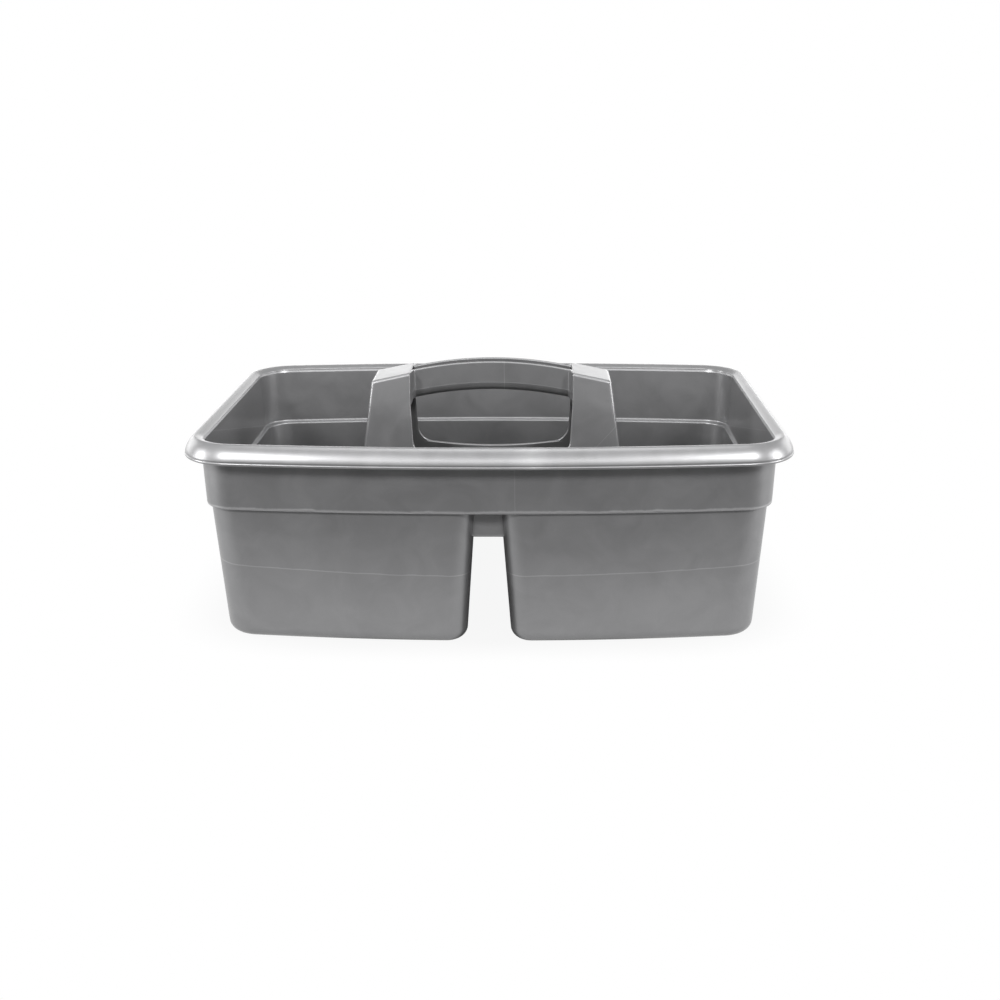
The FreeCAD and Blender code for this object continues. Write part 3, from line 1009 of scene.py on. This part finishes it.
@dataclass
class TowerPost:
    """Hollow tapered post with a sloping roof: a folded wall on one grid, and a cheek by the grip."""

    moulding: Moulding
    hole: HandHole
    hand: Hand
    roof_inner: Pair = (61.1, 165.4)
    roof_outer: Pair = (85.8, 160.2)
    roof_round: float = 2.0
    roof_start: float = 150.0
    cheek_foot: float = 142.0
    low_levels: tuple[float, ...] = (0.0, 0.4, *np.linspace(15, 98, 7))
    high_levels: tuple[float, ...] = (123.0, 130.0, 137.0)
    shoulder_shares: tuple[float, ...] = (0.4, 0.8, 0.96, 1.0)
    deck_shares: tuple[float, ...] = (0.03, 0.3, 0.65, 1.0)
    face_points: int = 8
    corner_points: int = 7
    end_points: int = 6
    turn_points: int = 10
    round_points: int = 8
    settling_rounds: int = 4

    def roof(self, x: Number) -> Number:
        """Level of the sloping roof at x."""
        (x0, z0), (x1, z1) = self.roof_inner, self.roof_outer
        return z0 + (x - x0) * (z1 - z0) / (x1 - x0)

    def path(self, z: Array, inset: Number) -> Array:
        """Front half of the plan path: from the hand hole round the corner to the middle of the end.

        Args:
            z: Level of each point, rows by columns.
            inset: Distance inside the outer face.

        Returns:
            Points, rows by columns by two.
        """
        m = self.moulding
        end, face, radius = m.tower_x(z) - inset, m.tower_y(z) - inset, m.tower_corner - inset
        steps = np.array(self.hole.edge_steps)
        n_face, n_corner = len(steps) + self.face_points, self.corner_points
        left = self.hole.side(z[:, :len(steps)]) + steps
        share = np.linspace(0, 1, self.face_points + 2)[1:-1]
        base = self.hole.side(z[:, len(steps):n_face]) + steps[-1]
        centre_x, centre_y = end - radius, face - radius
        middle = between(base, centre_x[:, len(steps):n_face], share)
        angle = np.radians(np.linspace(-90, 0, n_corner))
        turn = slice(n_face, n_face + n_corner)
        bend_x = centre_x[:, turn] + radius[:, turn] * np.cos(angle)
        bend_y = -centre_y[:, turn] + radius[:, turn] * np.sin(angle)
        rest = slice(n_face + n_corner, None)
        across = np.linspace(1, 0, self.end_points + 1)[1:]
        x = np.concatenate([left, middle, bend_x, end[:, rest]], axis=1)
        y = np.concatenate([-face[:, :n_face], bend_y, -centre_y[:, rest] * across], axis=1)
        return np.stack([x, y], axis=-1)

    def half_sheet(self, inset: float) -> Array:
        """Front half of the wall and roof, at a distance inside the outer face.

        The eaves lie where the wall meets the roof, which moves with the wall's lean, so they settle in
        a few rounds. Over them the shoulder turns in by the radius times one less the cosine of the
        turn, and rises by the radius times its sine.

        Args:
            inset: Distance inside the outer face.

        Returns:
            Points, rows by columns by three.
        """
        hole = self.hole
        turn = np.radians(np.linspace(0, 90, self.turn_points))
        near = np.array(hole.edge_steps[1:])[::-1]
        levels = np.concatenate([
            self.low_levels, hole.foot_end - near, hole.corner_top - hole.corner * np.cos(turn),
            self.high_levels, [hole.straight_level, self.roof_start],
        ])
        columns = len(hole.edge_steps) + self.face_points + self.corner_points + self.end_points
        z = np.repeat(levels[:, None], columns, axis=1)
        walls = plan_and_level(self.path(z, np.full_like(z, inset)), z)
        soft = max(self.roof_round - inset, 0)
        angle = np.radians(np.linspace(0, 90, self.round_points))[1:]
        upright = np.zeros(len(self.shoulder_shares))
        rise = np.concatenate([self.shoulder_shares, np.ones(len(angle))])[:, None]
        inwards = np.concatenate([upright, soft * (1 - np.cos(angle))])[:, None]
        lift = np.concatenate([upright, soft * np.sin(angle)])[:, None]
        z = np.full((len(rise), columns), self.roof_start)
        for _ in range(self.settling_rounds):
            plan = self.path(z, inset + inwards + np.zeros_like(z))
            eaves = self.roof(plan[..., 0]) - inset - soft
            z = between(self.roof_start, eaves, rise) + lift
        shoulders = plan_and_level(plan, z)
        rim = plan[-1]
        ridge = np.minimum(rim[:, 0], rim[len(hole.edge_steps) + self.face_points, 0])
        target = np.stack([ridge, np.zeros_like(ridge)], axis=-1)
        deck = between(rim, target, np.array(self.deck_shares)[:, None, None])
        roof = plan_and_level(deck, self.roof(deck[..., 0]) - inset)
        return np.concatenate([walls, shoulders, roof])

    def soften(self, outer: Array, inner: Array) -> tuple[Array, Array]:
        """Round the edges of the hand hole, and the roof's edge over the grip.

        Near the edge each face drops back along its normal by the quarter circle of the rounding.

        Args:
            outer: Outer grid.
            inner: Inner grid.

        Returns:
            Both grids with the rounding.
        """
        across, down = np.gradient(outer, axis=1), np.gradient(outer, axis=0)
        normal = np.cross(across, down)
        normal /= np.maximum(np.linalg.norm(normal, axis=-1, keepdims=True), 1e-9)
        middle = np.array([self.moulding.tower_half_x / 2, 0, self.cheek_foot / 2])
        normal *= np.where(((outer - middle) * normal).sum(axis=-1, keepdims=True) < 0, -1, 1)
        drop = eased(self.hole.distance(outer[..., 0], outer[..., 2]), self.hole.edge_round)[..., None]
        open_side = outer[..., 2:] < self.cheek_foot
        return outer - normal * drop, inner + normal * drop * open_side

    def build(self, material: bpy.types.Material) -> bpy.types.Object:
        """Mirror the front half to the rear, make the wall and add the cheek.

        The cheek is an upright plate across the depth that narrows as the tower does.

        Args:
            material: Finish of the piece.

        Returns:
            The new object.
        """
        wall = self.moulding.tower_wall
        outer, inner = self.soften(self.half_sheet(0), self.half_sheet(wall))
        back = np.array([1, -1, 1])
        outer = np.concatenate([outer, outer[:, -2::-1] * back], axis=1)
        inner = np.concatenate([inner, inner[:, -2::-1] * back], axis=1)
        name = self.hand.name.lower()
        piece = Piece(f"post_{name}", f"{name}_post")
        piece.add_shell(outer, inner, close_last_row=False)
        levels = np.linspace(0, 1, 3)[:, None]
        sheets = []
        for place in (self.hole.top_half, self.hole.top_half + wall):
            z = between(self.cheek_foot, self.roof(place) - wall, levels)
            y = (self.moulding.tower_y(z) - wall) * np.linspace(-1, 1, 3)
            sheets.append(np.stack([np.full_like(y, place), y, np.broadcast_to(z, y.shape)], axis=-1))
        piece.add_shell(*sheets)
        return piece.mirror(self.hand).build(material)


@dataclass
class TowerPanel:
    """Wall of the tower under the hand hole, notched where the slot passes under it."""

    moulding: Moulding
    hole: HandHole
    face: Face
    straight_top: float = 96.0
    low_points: int = 8
    high_points: int = 6
    side_points: int = 8
    middle_points: int = 17

    def build(self, material: bpy.types.Material) -> bpy.types.Object:
        """Make the wall between its two faces, with the hole's lower edge rounded.

        The columns run between the posts and keep to the slot's edges, so the notch follows them. The
        upper rows lie at set distances under the hole's edge, and each face drops back there by the
        quarter circle of the rounding.

        Args:
            material: Finish of the piece.

        Returns:
            The new object.
        """
        m = self.moulding
        under = m.front_under if self.face is Face.FRONT else m.rear_under
        high = spaced(under, self.straight_top, self.high_points)[1:]
        low = np.concatenate([np.linspace(0, under, self.low_points), high])
        levels = np.concatenate([low, np.zeros(len(self.hole.edge_steps))])[:, None]
        notch = np.minimum(levels, under)
        edge = m.slot_edge(self.face.value * m.tower_y(notch), notch, 0)
        outside = self.hole.corner_half
        share = np.linspace(0, 1, self.side_points, endpoint=False)
        middle = np.linspace(-1, 1, self.middle_points)
        x = np.concatenate([
            between(-outside, -edge, share), edge * middle, between(outside, edge, share)[:, ::-1],
        ], axis=1)
        x[len(low):] = x[len(low) - 1]
        z = np.broadcast_to(levels, x.shape).copy()
        z[len(low):] = self.hole.foot(x[len(low):]) - np.array(self.hole.edge_steps)[::-1, None]
        drop = eased(self.hole.distance(x, z), self.hole.edge_round)
        depth = m.tower_y(z)
        outer = np.stack([x, self.face.value * (depth - drop), z], axis=-1)
        inner = np.stack([x, self.face.value * (depth - m.tower_wall + drop), z], axis=-1)
        keep = np.ones((x.shape[0] - 1, x.shape[1] - 1), bool)
        slot = slice(self.side_points, self.side_points + self.middle_points - 1)
        keep[:self.low_points - 1, slot] = False
        name = self.face.name.lower()
        piece = Piece(f"panel_{name}", f"{name}_panel")
        piece.add_shell(outer, inner, keep)
        return piece.build(material)


@dataclass
class HandleGrip:
    """Open-topped channel arched between the posts: a U section whose size follows the arch."""

    moulding: Moulding
    hole: HandHole
    half_y: float = 8.6
    top_middle: float = 172.1
    top_end: float = 165.8
    under_middle: float = 150.7
    under_end: float = 144.3
    under_round: float = 6.2
    parting_step: float = 0.45
    parting_rise: float = 0.15
    flare_start: float = 55.0
    flare_lag: float = 0.9
    flare_half: float = 19.6
    edge_round: float = 0.95
    edge_steps: tuple[float, ...] = (0.0, 0.06, 0.22, 0.5, 0.8, 1.0, 1.5)
    wall_points: int = 7
    round_points: int = 12
    stations: int = 41
    flare_stations: int = 12

    def arch(self, middle: float, end: float, x: Array) -> Array:
        """Level of a circle that passes a middle level and an end level at the posts.

        Args:
            middle: Level in the middle.
            end: Level at the posts.
            x: Place along the grip.

        Returns:
            The level.
        """
        sag = middle - end
        radius = (self.hole.top_half ** 2 + sag ** 2) / (2 * sag)
        return middle - radius + np.sqrt(radius ** 2 - x ** 2)

    def half_width(self, x: Array) -> Array:
        """Half width of the channel: even along the grip, growing with the square into the posts."""
        share = np.clip((np.abs(x) - self.flare_start) / (self.hole.top_half - self.flare_start), 0, 1)
        return self.half_y + (self.flare_half - self.half_y) * share ** 2

    def sheet(self, x: Array, inset: float) -> Array:
        """Rear half of the U at each station, from the middle of its foot up to its edge.

        The outer wall stands back a little over the round foot, along the line where the mould parts.

        Args:
            x: Stations along the grip, as a column.
            inset: Distance inside the outer face.

        Returns:
            Points, rows by columns by three.
        """
        top = self.arch(self.top_middle, self.top_end, x)
        foot = self.arch(self.under_middle, self.under_end, x) + inset
        side = self.half_width(np.abs(x) - self.flare_lag * inset) - inset
        radius = self.under_round - inset
        base = (side - radius) * np.array([0.0, 0.5])
        angle = np.radians(np.linspace(-90, 0, self.round_points))
        turn_y, turn_z = side - radius + radius * np.cos(angle), foot + radius + radius * np.sin(angle)
        drop = np.array(self.edge_steps)[::-1]
        share = np.linspace(0, 1, self.wall_points + 1)[:-1]
        wall_z = between(foot + radius + self.parting_rise, top - drop[0], share)
        ease = eased(drop, self.edge_round) * (1 if inset else -1)
        wall = side - (0 if inset else self.parting_step)
        y = np.concatenate([base, turn_y, wall + 0 * wall_z, wall + ease], axis=1)
        z = np.concatenate([foot + 0 * base, turn_z, wall_z, top - drop], axis=1)
        return np.stack([np.broadcast_to(x, y.shape), y, z], axis=-1)

    def build(self, material: bpy.types.Material) -> bpy.types.Object:
        """Mirror the rear half to the front and make the channel's wall.

        Args:
            material: Finish of the piece.

        Returns:
            The new object.
        """
        flare = np.linspace(self.flare_start, self.hole.top_half, self.flare_stations)
        along = np.linspace(-self.flare_start, self.flare_start, self.stations)
        x = np.concatenate([-flare[:0:-1], along, flare[1:]])[:, None]
        front = np.array([1, -1, 1])
        sheets = []
        for inset in (0.0, self.moulding.wall):
            rear = self.sheet(x, inset)
            sheets.append(np.concatenate([rear[:, :0:-1] * front, rear], axis=1))
        piece = Piece("grip", "handle_grip")
        piece.add_shell(*sheets)
        return piece.build(material)


def srgb(code: str) -> tuple[float, float, float, float]:
    """Linear colour of an sRGB hex code: a straight toe, and a power of 2.4 above it.

    Args:
        code: A hash sign and six hex digits.

    Returns:
        Red, green, blue and alpha.
    """
    values = np.array([int(code[i:i + 2], 16) for i in (1, 3, 5)]) / 255
    linear = np.where(values <= 0.04045, values / 12.92, ((values + 0.055) / 1.055) ** 2.4)
    return (*(float(value) for value in linear), 1.0)


def add_node(tree: bpy.types.NodeTree, kind: str, inputs: dict | None = None, output: str | int = 0,
             **settings: object) -> bpy.types.NodeSocket | None:
    """Add a shader node with its settings, and set or link its inputs.

    Args:
        tree: Node tree.
        kind: Blender's name for the node's type, without its prefix.
        inputs: Values or output sockets by input name or number.
        output: Name or number of the output that is wanted.
        settings: Values of the node's own properties.

    Returns:
        The output socket, or None for a node without outputs.
    """
    node = tree.nodes.new("ShaderNode" + kind)
    for name, value in settings.items():
        setattr(node, name, value)
    for name, value in (inputs or {}).items():
        if isinstance(value, bpy.types.NodeSocket):
            tree.links.new(value, node.inputs[name])
        else:
            node.inputs[name].default_value = value
    return node.outputs[output] if len(node.outputs) else None


@dataclass(frozen=True)
class FlowAndHighlightMark:
    """Pale line, a curve in two coordinates, on one side of the caddy. Most are flow lines that the
    melt leaves; the one at the band's foot is a painted highlight.

    The line's place across is the level, plus the slope times the place along, plus the bend times the
    square of the place along, with places in millimetres.
    """

    across: Axis
    along: Axis
    level: float
    slope: float = 0.0
    bend: float = 0.0
    half_width: float = 0.6
    strength: float = 0.5
    side: Axis = Axis.Y
    side_limit: float = 0.0
    side_sign: int = -1


@dataclass(frozen=True)
class SilverPolypropylene:
    """Injection-moulded polypropylene with aluminium pigment: a soft silver grey, half glossy.

    The pigment drifts with the melt, so the grey is faintly cloudy and paler along flow lines, and the
    polished mould leaves a smooth skin with a very shallow waviness. Real flakes are some hundredths of
    a millimetre, too fine to show, so they are drawn as coarse as they need to be seen.
    """

    pale: str = "#8b8b8c"
    dark: str = "#848485"
    # Colour of the pale marks: the flow lines, and the painted highlight at the band's foot.
    flow_and_highlight: str = "#b4b4b5"
    roughness: float = 0.34
    metallic: float = 0.65
    ior: float = 1.49
    cloud_mm: float = 26.0
    flake_mm: float = 0.9
    wave_mm: float = 9.0
    wave_height_mm: float = 0.012
    flake_share: float = 0.1
    grey_range: Pair = (0.35, 0.75)
    gloss_range: Pair = (0.3, 0.7)
    gloss_spread: float = 0.03
    mark_wander: float = 3.0
    mark_least: float = 0.35

    def mark_mask(self, tree: bpy.types.NodeTree, xyz: dict[Axis, bpy.types.NodeSocket],
                  wobble: bpy.types.NodeSocket, mark: FlowAndHighlightMark) -> bpy.types.NodeSocket:
        """How strongly a pale mark, flow line and painted highlight alike, shows at a point, from 0 to
        its strength.

        The distance from the line over its half width is taken from one, and cut off at zero. The noise
        shifts the line by some half widths, and fades it.

        Args:
            tree: Node tree.
            xyz: The point's coordinates in metres.
            wobble: Noise that makes the line wander and fade.
            mark: The line.

        Returns:
            Output socket.
        """
        add = partial(add_node, tree)
        width, along = mark.half_width * MM, xyz[mark.along]
        bend = add("Math", {0: along, 1: mark.bend / MM, 2: mark.slope}, operation="MULTIPLY_ADD")
        curve = add("Math", {0: along, 1: bend, 2: mark.level * MM}, operation="MULTIPLY_ADD")
        wander = self.mark_wander * width
        centre = add("Math", {0: wobble, 1: wander, 2: curve}, operation="MULTIPLY_ADD")
        offset = add("Math", {0: xyz[mark.across], 1: centre}, operation="SUBTRACT")
        gap = add("Math", {0: offset}, operation="ABSOLUTE")
        widths = add("Math", {0: gap, 1: width}, operation="DIVIDE")
        line = add("Math", {0: 1.0, 1: widths}, operation="SUBTRACT", use_clamp=True)
        beyond = add("Math", {0: xyz[mark.side], 1: mark.side_limit * MM}, operation="SUBTRACT")
        signed = add("Math", {0: beyond, 1: float(mark.side_sign)}, operation="MULTIPLY")
        on_side = add("Math", {0: signed, 1: 0.0}, operation="GREATER_THAN")
        share = add("Math", {0: wobble, 1: self.mark_least}, operation="ADD", use_clamp=True)
        fade = add("Math", {0: share, 1: mark.strength}, operation="MULTIPLY")
        kept = add("Math", {0: line, 1: on_side}, operation="MULTIPLY")
        return add("Math", {0: kept, 1: fade}, operation="MULTIPLY")

    def material(self, name: str, marks: list[FlowAndHighlightMark]) -> bpy.types.Material:
        """Make the finish with a piece's own pale marks: flow lines, and a painted highlight where there
        is one.

        Args:
            name: Name of the material.
            marks: Flow lines on the piece, and painted highlight lines.

        Returns:
            The material.
        """
        made = bpy.data.materials.new(name)
        made.use_nodes = True
        tree = made.node_tree
        shader = next(node for node in tree.nodes if node.type == "BSDF_PRINCIPLED")
        add = partial(add_node, tree)
        place = add("TexCoord", output="Object")
        cloud, flake, wave = (1 / (size * MM) for size in (self.cloud_mm, self.flake_mm, self.wave_mm))
        clouds = add("TexNoise", {"Vector": place, "Scale": cloud, "Detail": 4.0,
                                  "Roughness": 0.6, "Distortion": 0.8}, "Fac")
        flakes = add("TexNoise", {"Vector": place, "Scale": flake, "Detail": 1.0}, "Fac")
        waves = add("TexNoise", {"Vector": place, "Scale": wave, "Detail": 2.0}, "Fac")
        pigment = add("Math", {0: flakes, 1: self.flake_share, 2: clouds}, operation="MULTIPLY_ADD")
        low, high = self.grey_range
        grey = add("MapRange", {"Value": pigment, "From Min": low, "From Max": high}, "Result")
        tint = add("Mix", {0: grey, 6: srgb(self.dark), 7: srgb(self.pale)}, 2, data_type="RGBA")
        if marks:
            xyz = {axis: add("SeparateXYZ", {0: place}, axis.value) for axis in Axis}
            masks = [self.mark_mask(tree, xyz, clouds, mark) for mark in marks]
            total = masks[0]
            for mask in masks[1:]:
                total = add("Math", {0: total, 1: mask}, operation="MAXIMUM")
            # Mix in the pale marks: flow lines, and the painted highlight where a piece has one.
            tint = add("Mix", {0: total, 6: tint, 7: srgb(self.flow_and_highlight)}, 2, data_type="RGBA")
        low, high = self.gloss_range
        smooth, matt = self.roughness - self.gloss_spread, self.roughness + self.gloss_spread
        gloss = add("MapRange", {"Value": clouds, "From Min": low, "From Max": high,
                                 "To Min": smooth, "To Max": matt}, "Result")
        depth = self.wave_height_mm * MM
        normal = add("Bump", {"Height": waves, "Distance": depth, "Strength": 1.0}, "Normal")
        tree.links.new(tint, shader.inputs["Base Color"])
        tree.links.new(gloss, shader.inputs["Roughness"])
        tree.links.new(normal, shader.inputs["Normal"])
        shader.inputs["Metallic"].default_value = self.metallic
        shader.inputs["IOR"].default_value = self.ior
        return made


@dataclass(frozen=True)
class SoftLamp:
    """Soft rectangular lamp that the camera doesn't see, placed and sized in millimetres."""

    name: str
    place: Triple
    size: Pair
    watts: float

    def hang(self, target: Triple) -> bpy.types.Object:
        """Add the lamp.

        Args:
            target: Point that it faces, in millimetres.

        Returns:
            The lamp.
        """
        data = bpy.data.lights.new(self.name, "AREA")
        data.shape = "RECTANGLE"
        data.size, data.size_y = self.size[0] * MM, self.size[1] * MM
        data.energy = self.watts
        made = bpy.data.objects.new(self.name, data)
        made.location = np.array(self.place) * MM
        direction = (np.array(target, float) - np.array(self.place, float)) * MM
        made.rotation_euler = Vector(direction).to_track_quat("-Z", "Y").to_euler()
        made.visible_camera = False
        bpy.context.scene.collection.objects.link(made)
        return made


@dataclass
class Studio:
    """White floor that curves up behind the caddy, soft lamps and the photograph's camera."""

    floor_half: float = 3000.0
    cove_start: float = 1600.0
    cove_radius: float = 900.0
    floor_shade: str = "#686868"
    footprint: Pair = (190.0, 124.0)
    aim: Triple = (0.0, 0.0, 80.0)
    lamps: tuple[SoftLamp, ...] = (
        SoftLamp("left_key", (-1000.0, -1450.0, 1200.0), (260.0, 380.0), 21.5),
        SoftLamp("right_key", (1000.0, -1450.0, 1200.0), (260.0, 380.0), 20.5),
        SoftLamp("front_fill", (0.0, -1400.0, 950.0), (900.0, 300.0), 4.0),
        SoftLamp("top_soft", (0.0, -250.0, 1500.0), (1100.0, 450.0), 5.0),
        SoftLamp("left_strip", (-1600.0, -250.0, 400.0), (400.0, 900.0), 16.0),
        SoftLamp("right_strip", (1600.0, -250.0, 400.0), (400.0, 900.0), 15.0),
        SoftLamp("left_rear", (-1400.0, 950.0, 420.0), (700.0, 800.0), 4.5),
        SoftLamp("right_rear", (1400.0, 950.0, 420.0), (700.0, 800.0), 4.0),
        SoftLamp("rear_wash", (0.0, 1900.0, 350.0), (3200.0, 600.0), 12.5),
    )
    camera_mm: Triple = (28.843, -956.299, 365.555)
    camera_yaw_deg: float = 1.118
    camera_down_deg: float = 17.449
    camera_roll_deg: float = -0.287
    lens_mm: float = 48.10
    shift_x: float = -0.0066
    world_strength: float = 0.04
    seen_glow: Triple = (0.92, 0.9, 1.25)
    mirrored_out: Pair = (0.9, 0.96)
    mirrored_y: Pair = (-330.0, -150.0)

    def white_world(self) -> None:
        """Dim even light all round, and plain white for camera and reflections past the floor."""
        world = bpy.data.worlds.new("studio")
        bpy.context.scene.world = world
        world.use_nodes = True
        tree = world.node_tree
        tree.nodes.clear()
        add = partial(add_node, tree)
        shown = add("LightPath", output="Is Camera Ray")
        for ray in ("Is Glossy Ray", "Is Transmission Ray"):
            shown = add("Math", {0: shown, 1: add("LightPath", output=ray)}, operation="MAXIMUM")
        soft = add("Background", {"Color": (1, 1, 1, 1), "Strength": self.world_strength})
        white = add("Background", {"Color": (1, 1, 1, 1), "Strength": 1.0})
        add("OutputWorld", {"Surface": add("MixShader", {0: shown, 1: soft, 2: white})})

    def floor_finish(self) -> bpy.types.Material:
        """Matt grey paper that looks white to the camera, and to reflections beside and behind the caddy.

        How far out a point is counts in footprints of the caddy: the fourth root of the sum of the
        fourth powers of its coordinates over the footprint's half sizes. Near the caddy some of the
        paper itself shows, so it keeps the shadow.

        Returns:
            The material.
        """
        made = bpy.data.materials.new("studio_paper")
        made.use_nodes = True
        tree = made.node_tree
        tree.nodes.clear()
        add = partial(add_node, tree)
        place = add("TexCoord", output="Object")
        half_x, half_y = self.footprint[0] * MM, self.footprint[1] * MM
        scaled = add("VectorMath", {0: place, 1: (half_x, half_y, half_y)}, operation="DIVIDE")
        squares = add("VectorMath", {0: scaled, 1: scaled}, operation="MULTIPLY")
        length = add("VectorMath", {0: squares}, "Value", operation="LENGTH")
        out = add("Math", {0: length, 1: 0.5}, operation="POWER")
        y = add("SeparateXYZ", {0: place}, "Y")
        least, near, far = self.seen_glow
        front, side = self.mirrored_y
        limits = (
            (out, near, far, least),
            (out, *self.mirrored_out, 0.0),
            (y, front * MM, side * MM, 0.0),
        )
        glow, clear, beside = (
            add("MapRange", {"Value": value, "From Min": start, "From Max": stop, "To Min": low},
                "Result", interpolation_type="SMOOTHSTEP")
            for value, start, stop, low in limits)
        zone = add("Math", {0: clear, 1: beside}, operation="MULTIPLY")
        seen = add("LightPath", output="Is Camera Ray")
        share = add("Math", {0: seen, 1: glow}, operation="MULTIPLY")
        for ray in ("Is Glossy Ray", "Is Transmission Ray"):
            mirrored = add("Math", {0: add("LightPath", output=ray), 1: zone}, operation="MULTIPLY")
            share = add("Math", {0: share, 1: mirrored}, operation="MAXIMUM")
        paper = add("BsdfDiffuse", {"Color": srgb(self.floor_shade)})
        white = add("Emission", {"Color": (1, 1, 1, 1), "Strength": 1.0})
        add("OutputMaterial", {"Surface": add("MixShader", {0: share, 1: paper, 2: white})})
        return made

    def floor(self) -> bpy.types.Object:
        """Floor that runs level and then up a quarter circle: a profile carried across.

        Returns:
            The floor.
        """
        bend = arc((self.cove_start, self.cove_radius), self.cove_radius, -90, 0, 24)
        top = [[self.cove_start + self.cove_radius, 3 * self.cove_radius]]
        profile = np.concatenate([[[-self.floor_half, 0]], bend, top])
        x = np.array([-self.floor_half, self.floor_half])
        grid = np.stack([
            np.broadcast_to(x, (len(profile), 2)),
            np.broadcast_to(profile[:, :1], (len(profile), 2)),
            np.broadcast_to(profile[:, 1:], (len(profile), 2)),
        ], axis=-1) * MM
        row = np.arange(len(profile) - 1) * 2
        quads = np.stack([row, row + 1, row + 3, row + 2], axis=-1)
        mesh = bpy.data.meshes.new("studio_floor")
        mesh.from_pydata(grid.reshape(-1, 3).tolist(), [], quads.tolist())
        mesh.shade_smooth()
        mesh.materials.append(self.floor_finish())
        made = bpy.data.objects.new("studio_floor", mesh)
        bpy.context.scene.collection.objects.link(made)
        return made

    def camera(self) -> bpy.types.Object:
        """Camera at the photograph's place, turned to the left a little, then down, then about its axis.

        Returns:
            The camera.
        """
        data = bpy.data.cameras.new("photo_camera")
        data.lens = self.lens_mm
        data.sensor_width = 36.0
        data.shift_x = self.shift_x
        data.clip_start, data.clip_end = 0.01, 50.0
        made = bpy.data.objects.new("photo_camera", data)
        made.location = np.array(self.camera_mm) * MM
        yaw = Matrix.Rotation(math.radians(self.camera_yaw_deg), 3, "Z")
        down = Matrix.Rotation(math.radians(90 - self.camera_down_deg), 3, "X")
        roll = Matrix.Rotation(math.radians(self.camera_roll_deg), 3, "Z")
        made.rotation_euler = (yaw @ down @ roll).to_euler()
        bpy.context.scene.collection.objects.link(made)
        bpy.context.scene.camera = made
        return made

    def build(self) -> None:
        """Set up the whole studio."""
        bpy.context.scene.view_settings.view_transform = "Standard"
        self.white_world()
        self.floor()
        for lamp in self.lamps:
            lamp.hang(self.aim)
        self.camera()


def main() -> None:
    """Build the caddy's pieces in order, then the studio."""
    logging.basicConfig(level=logging.INFO, format="%(name)s: %(message)s")
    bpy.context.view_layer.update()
    moulding = Moulding()
    hole = HandHole()
    plastic = SilverPolypropylene()
    # Even silver grey for what lies in shade, which shows no flow lines.
    plain = plastic.material("silver_polypropylene", [])
    # On the rim the eye finds one shapeless pale cloud, near the middle of the front.
    RolledRim(moulding).build(plastic.material("silver_polypropylene_rim", [
        FlowAndHighlightMark(Axis.X, Axis.Z, 7.0, half_width=14.0, strength=0.35, side_limit=-121.5),
    ]))
    # The band has a slanted pale line on each end wall, a faint weld line, and along its foot a painted
    # highlight: a pale line where the lower edge's rounding catches the light.
    UpperBand(moulding).build(plastic.material("silver_polypropylene_band", [
        FlowAndHighlightMark(Axis.Z, Axis.Y, 119.5, slope=-0.233, side=Axis.X, side_limit=184.0, side_sign=1),
        FlowAndHighlightMark(Axis.Z, Axis.Y, 119.5, slope=-0.233, side=Axis.X, side_limit=-184.0),
        FlowAndHighlightMark(Axis.X, Axis.Z, 17.1, strength=0.25, side_limit=-121.5),
        # Painted highlight: a pale line painted along the band's lower edge, in place of the light that
        # its rounding catches.
        FlowAndHighlightMark(Axis.Z, Axis.X, 95.0, half_width=1.1, strength=1.0, side_limit=-90.0),
    ]))
    # The wells show one pale line across the front that bends up towards the ends.
    wells = plastic.material("silver_polypropylene_wells", [
        FlowAndHighlightMark(Axis.Z, Axis.X, 49.3, bend=0.00016, side_limit=-95.0),
    ])
    for hand in Hand:
        Well(moulding, hand).build(wells)
    for face in Face:
        Bridge(moulding, face).build(plain)
        TowerPanel(moulding, hole, face).build(plain)
    # On the right post a fine pale line slants up and outwards, and the left post has none.
    posts = plastic.material("silver_polypropylene_posts", [
        FlowAndHighlightMark(Axis.X, Axis.Z, -26.4, slope=0.904, half_width=0.35,
                 side=Axis.Z, side_limit=112.0, side_sign=1),
    ])
    for hand in Hand:
        TowerPost(moulding, hole, hand).build(posts)
    # The grip carries the weld line where the melt met from both posts.
    HandleGrip(moulding, hole).build(plastic.material("silver_polypropylene_grip", [
        FlowAndHighlightMark(Axis.X, Axis.Z, 8.6, half_width=0.4),
    ]))
    Studio().build()


if __name__ == "__main__":
    main()
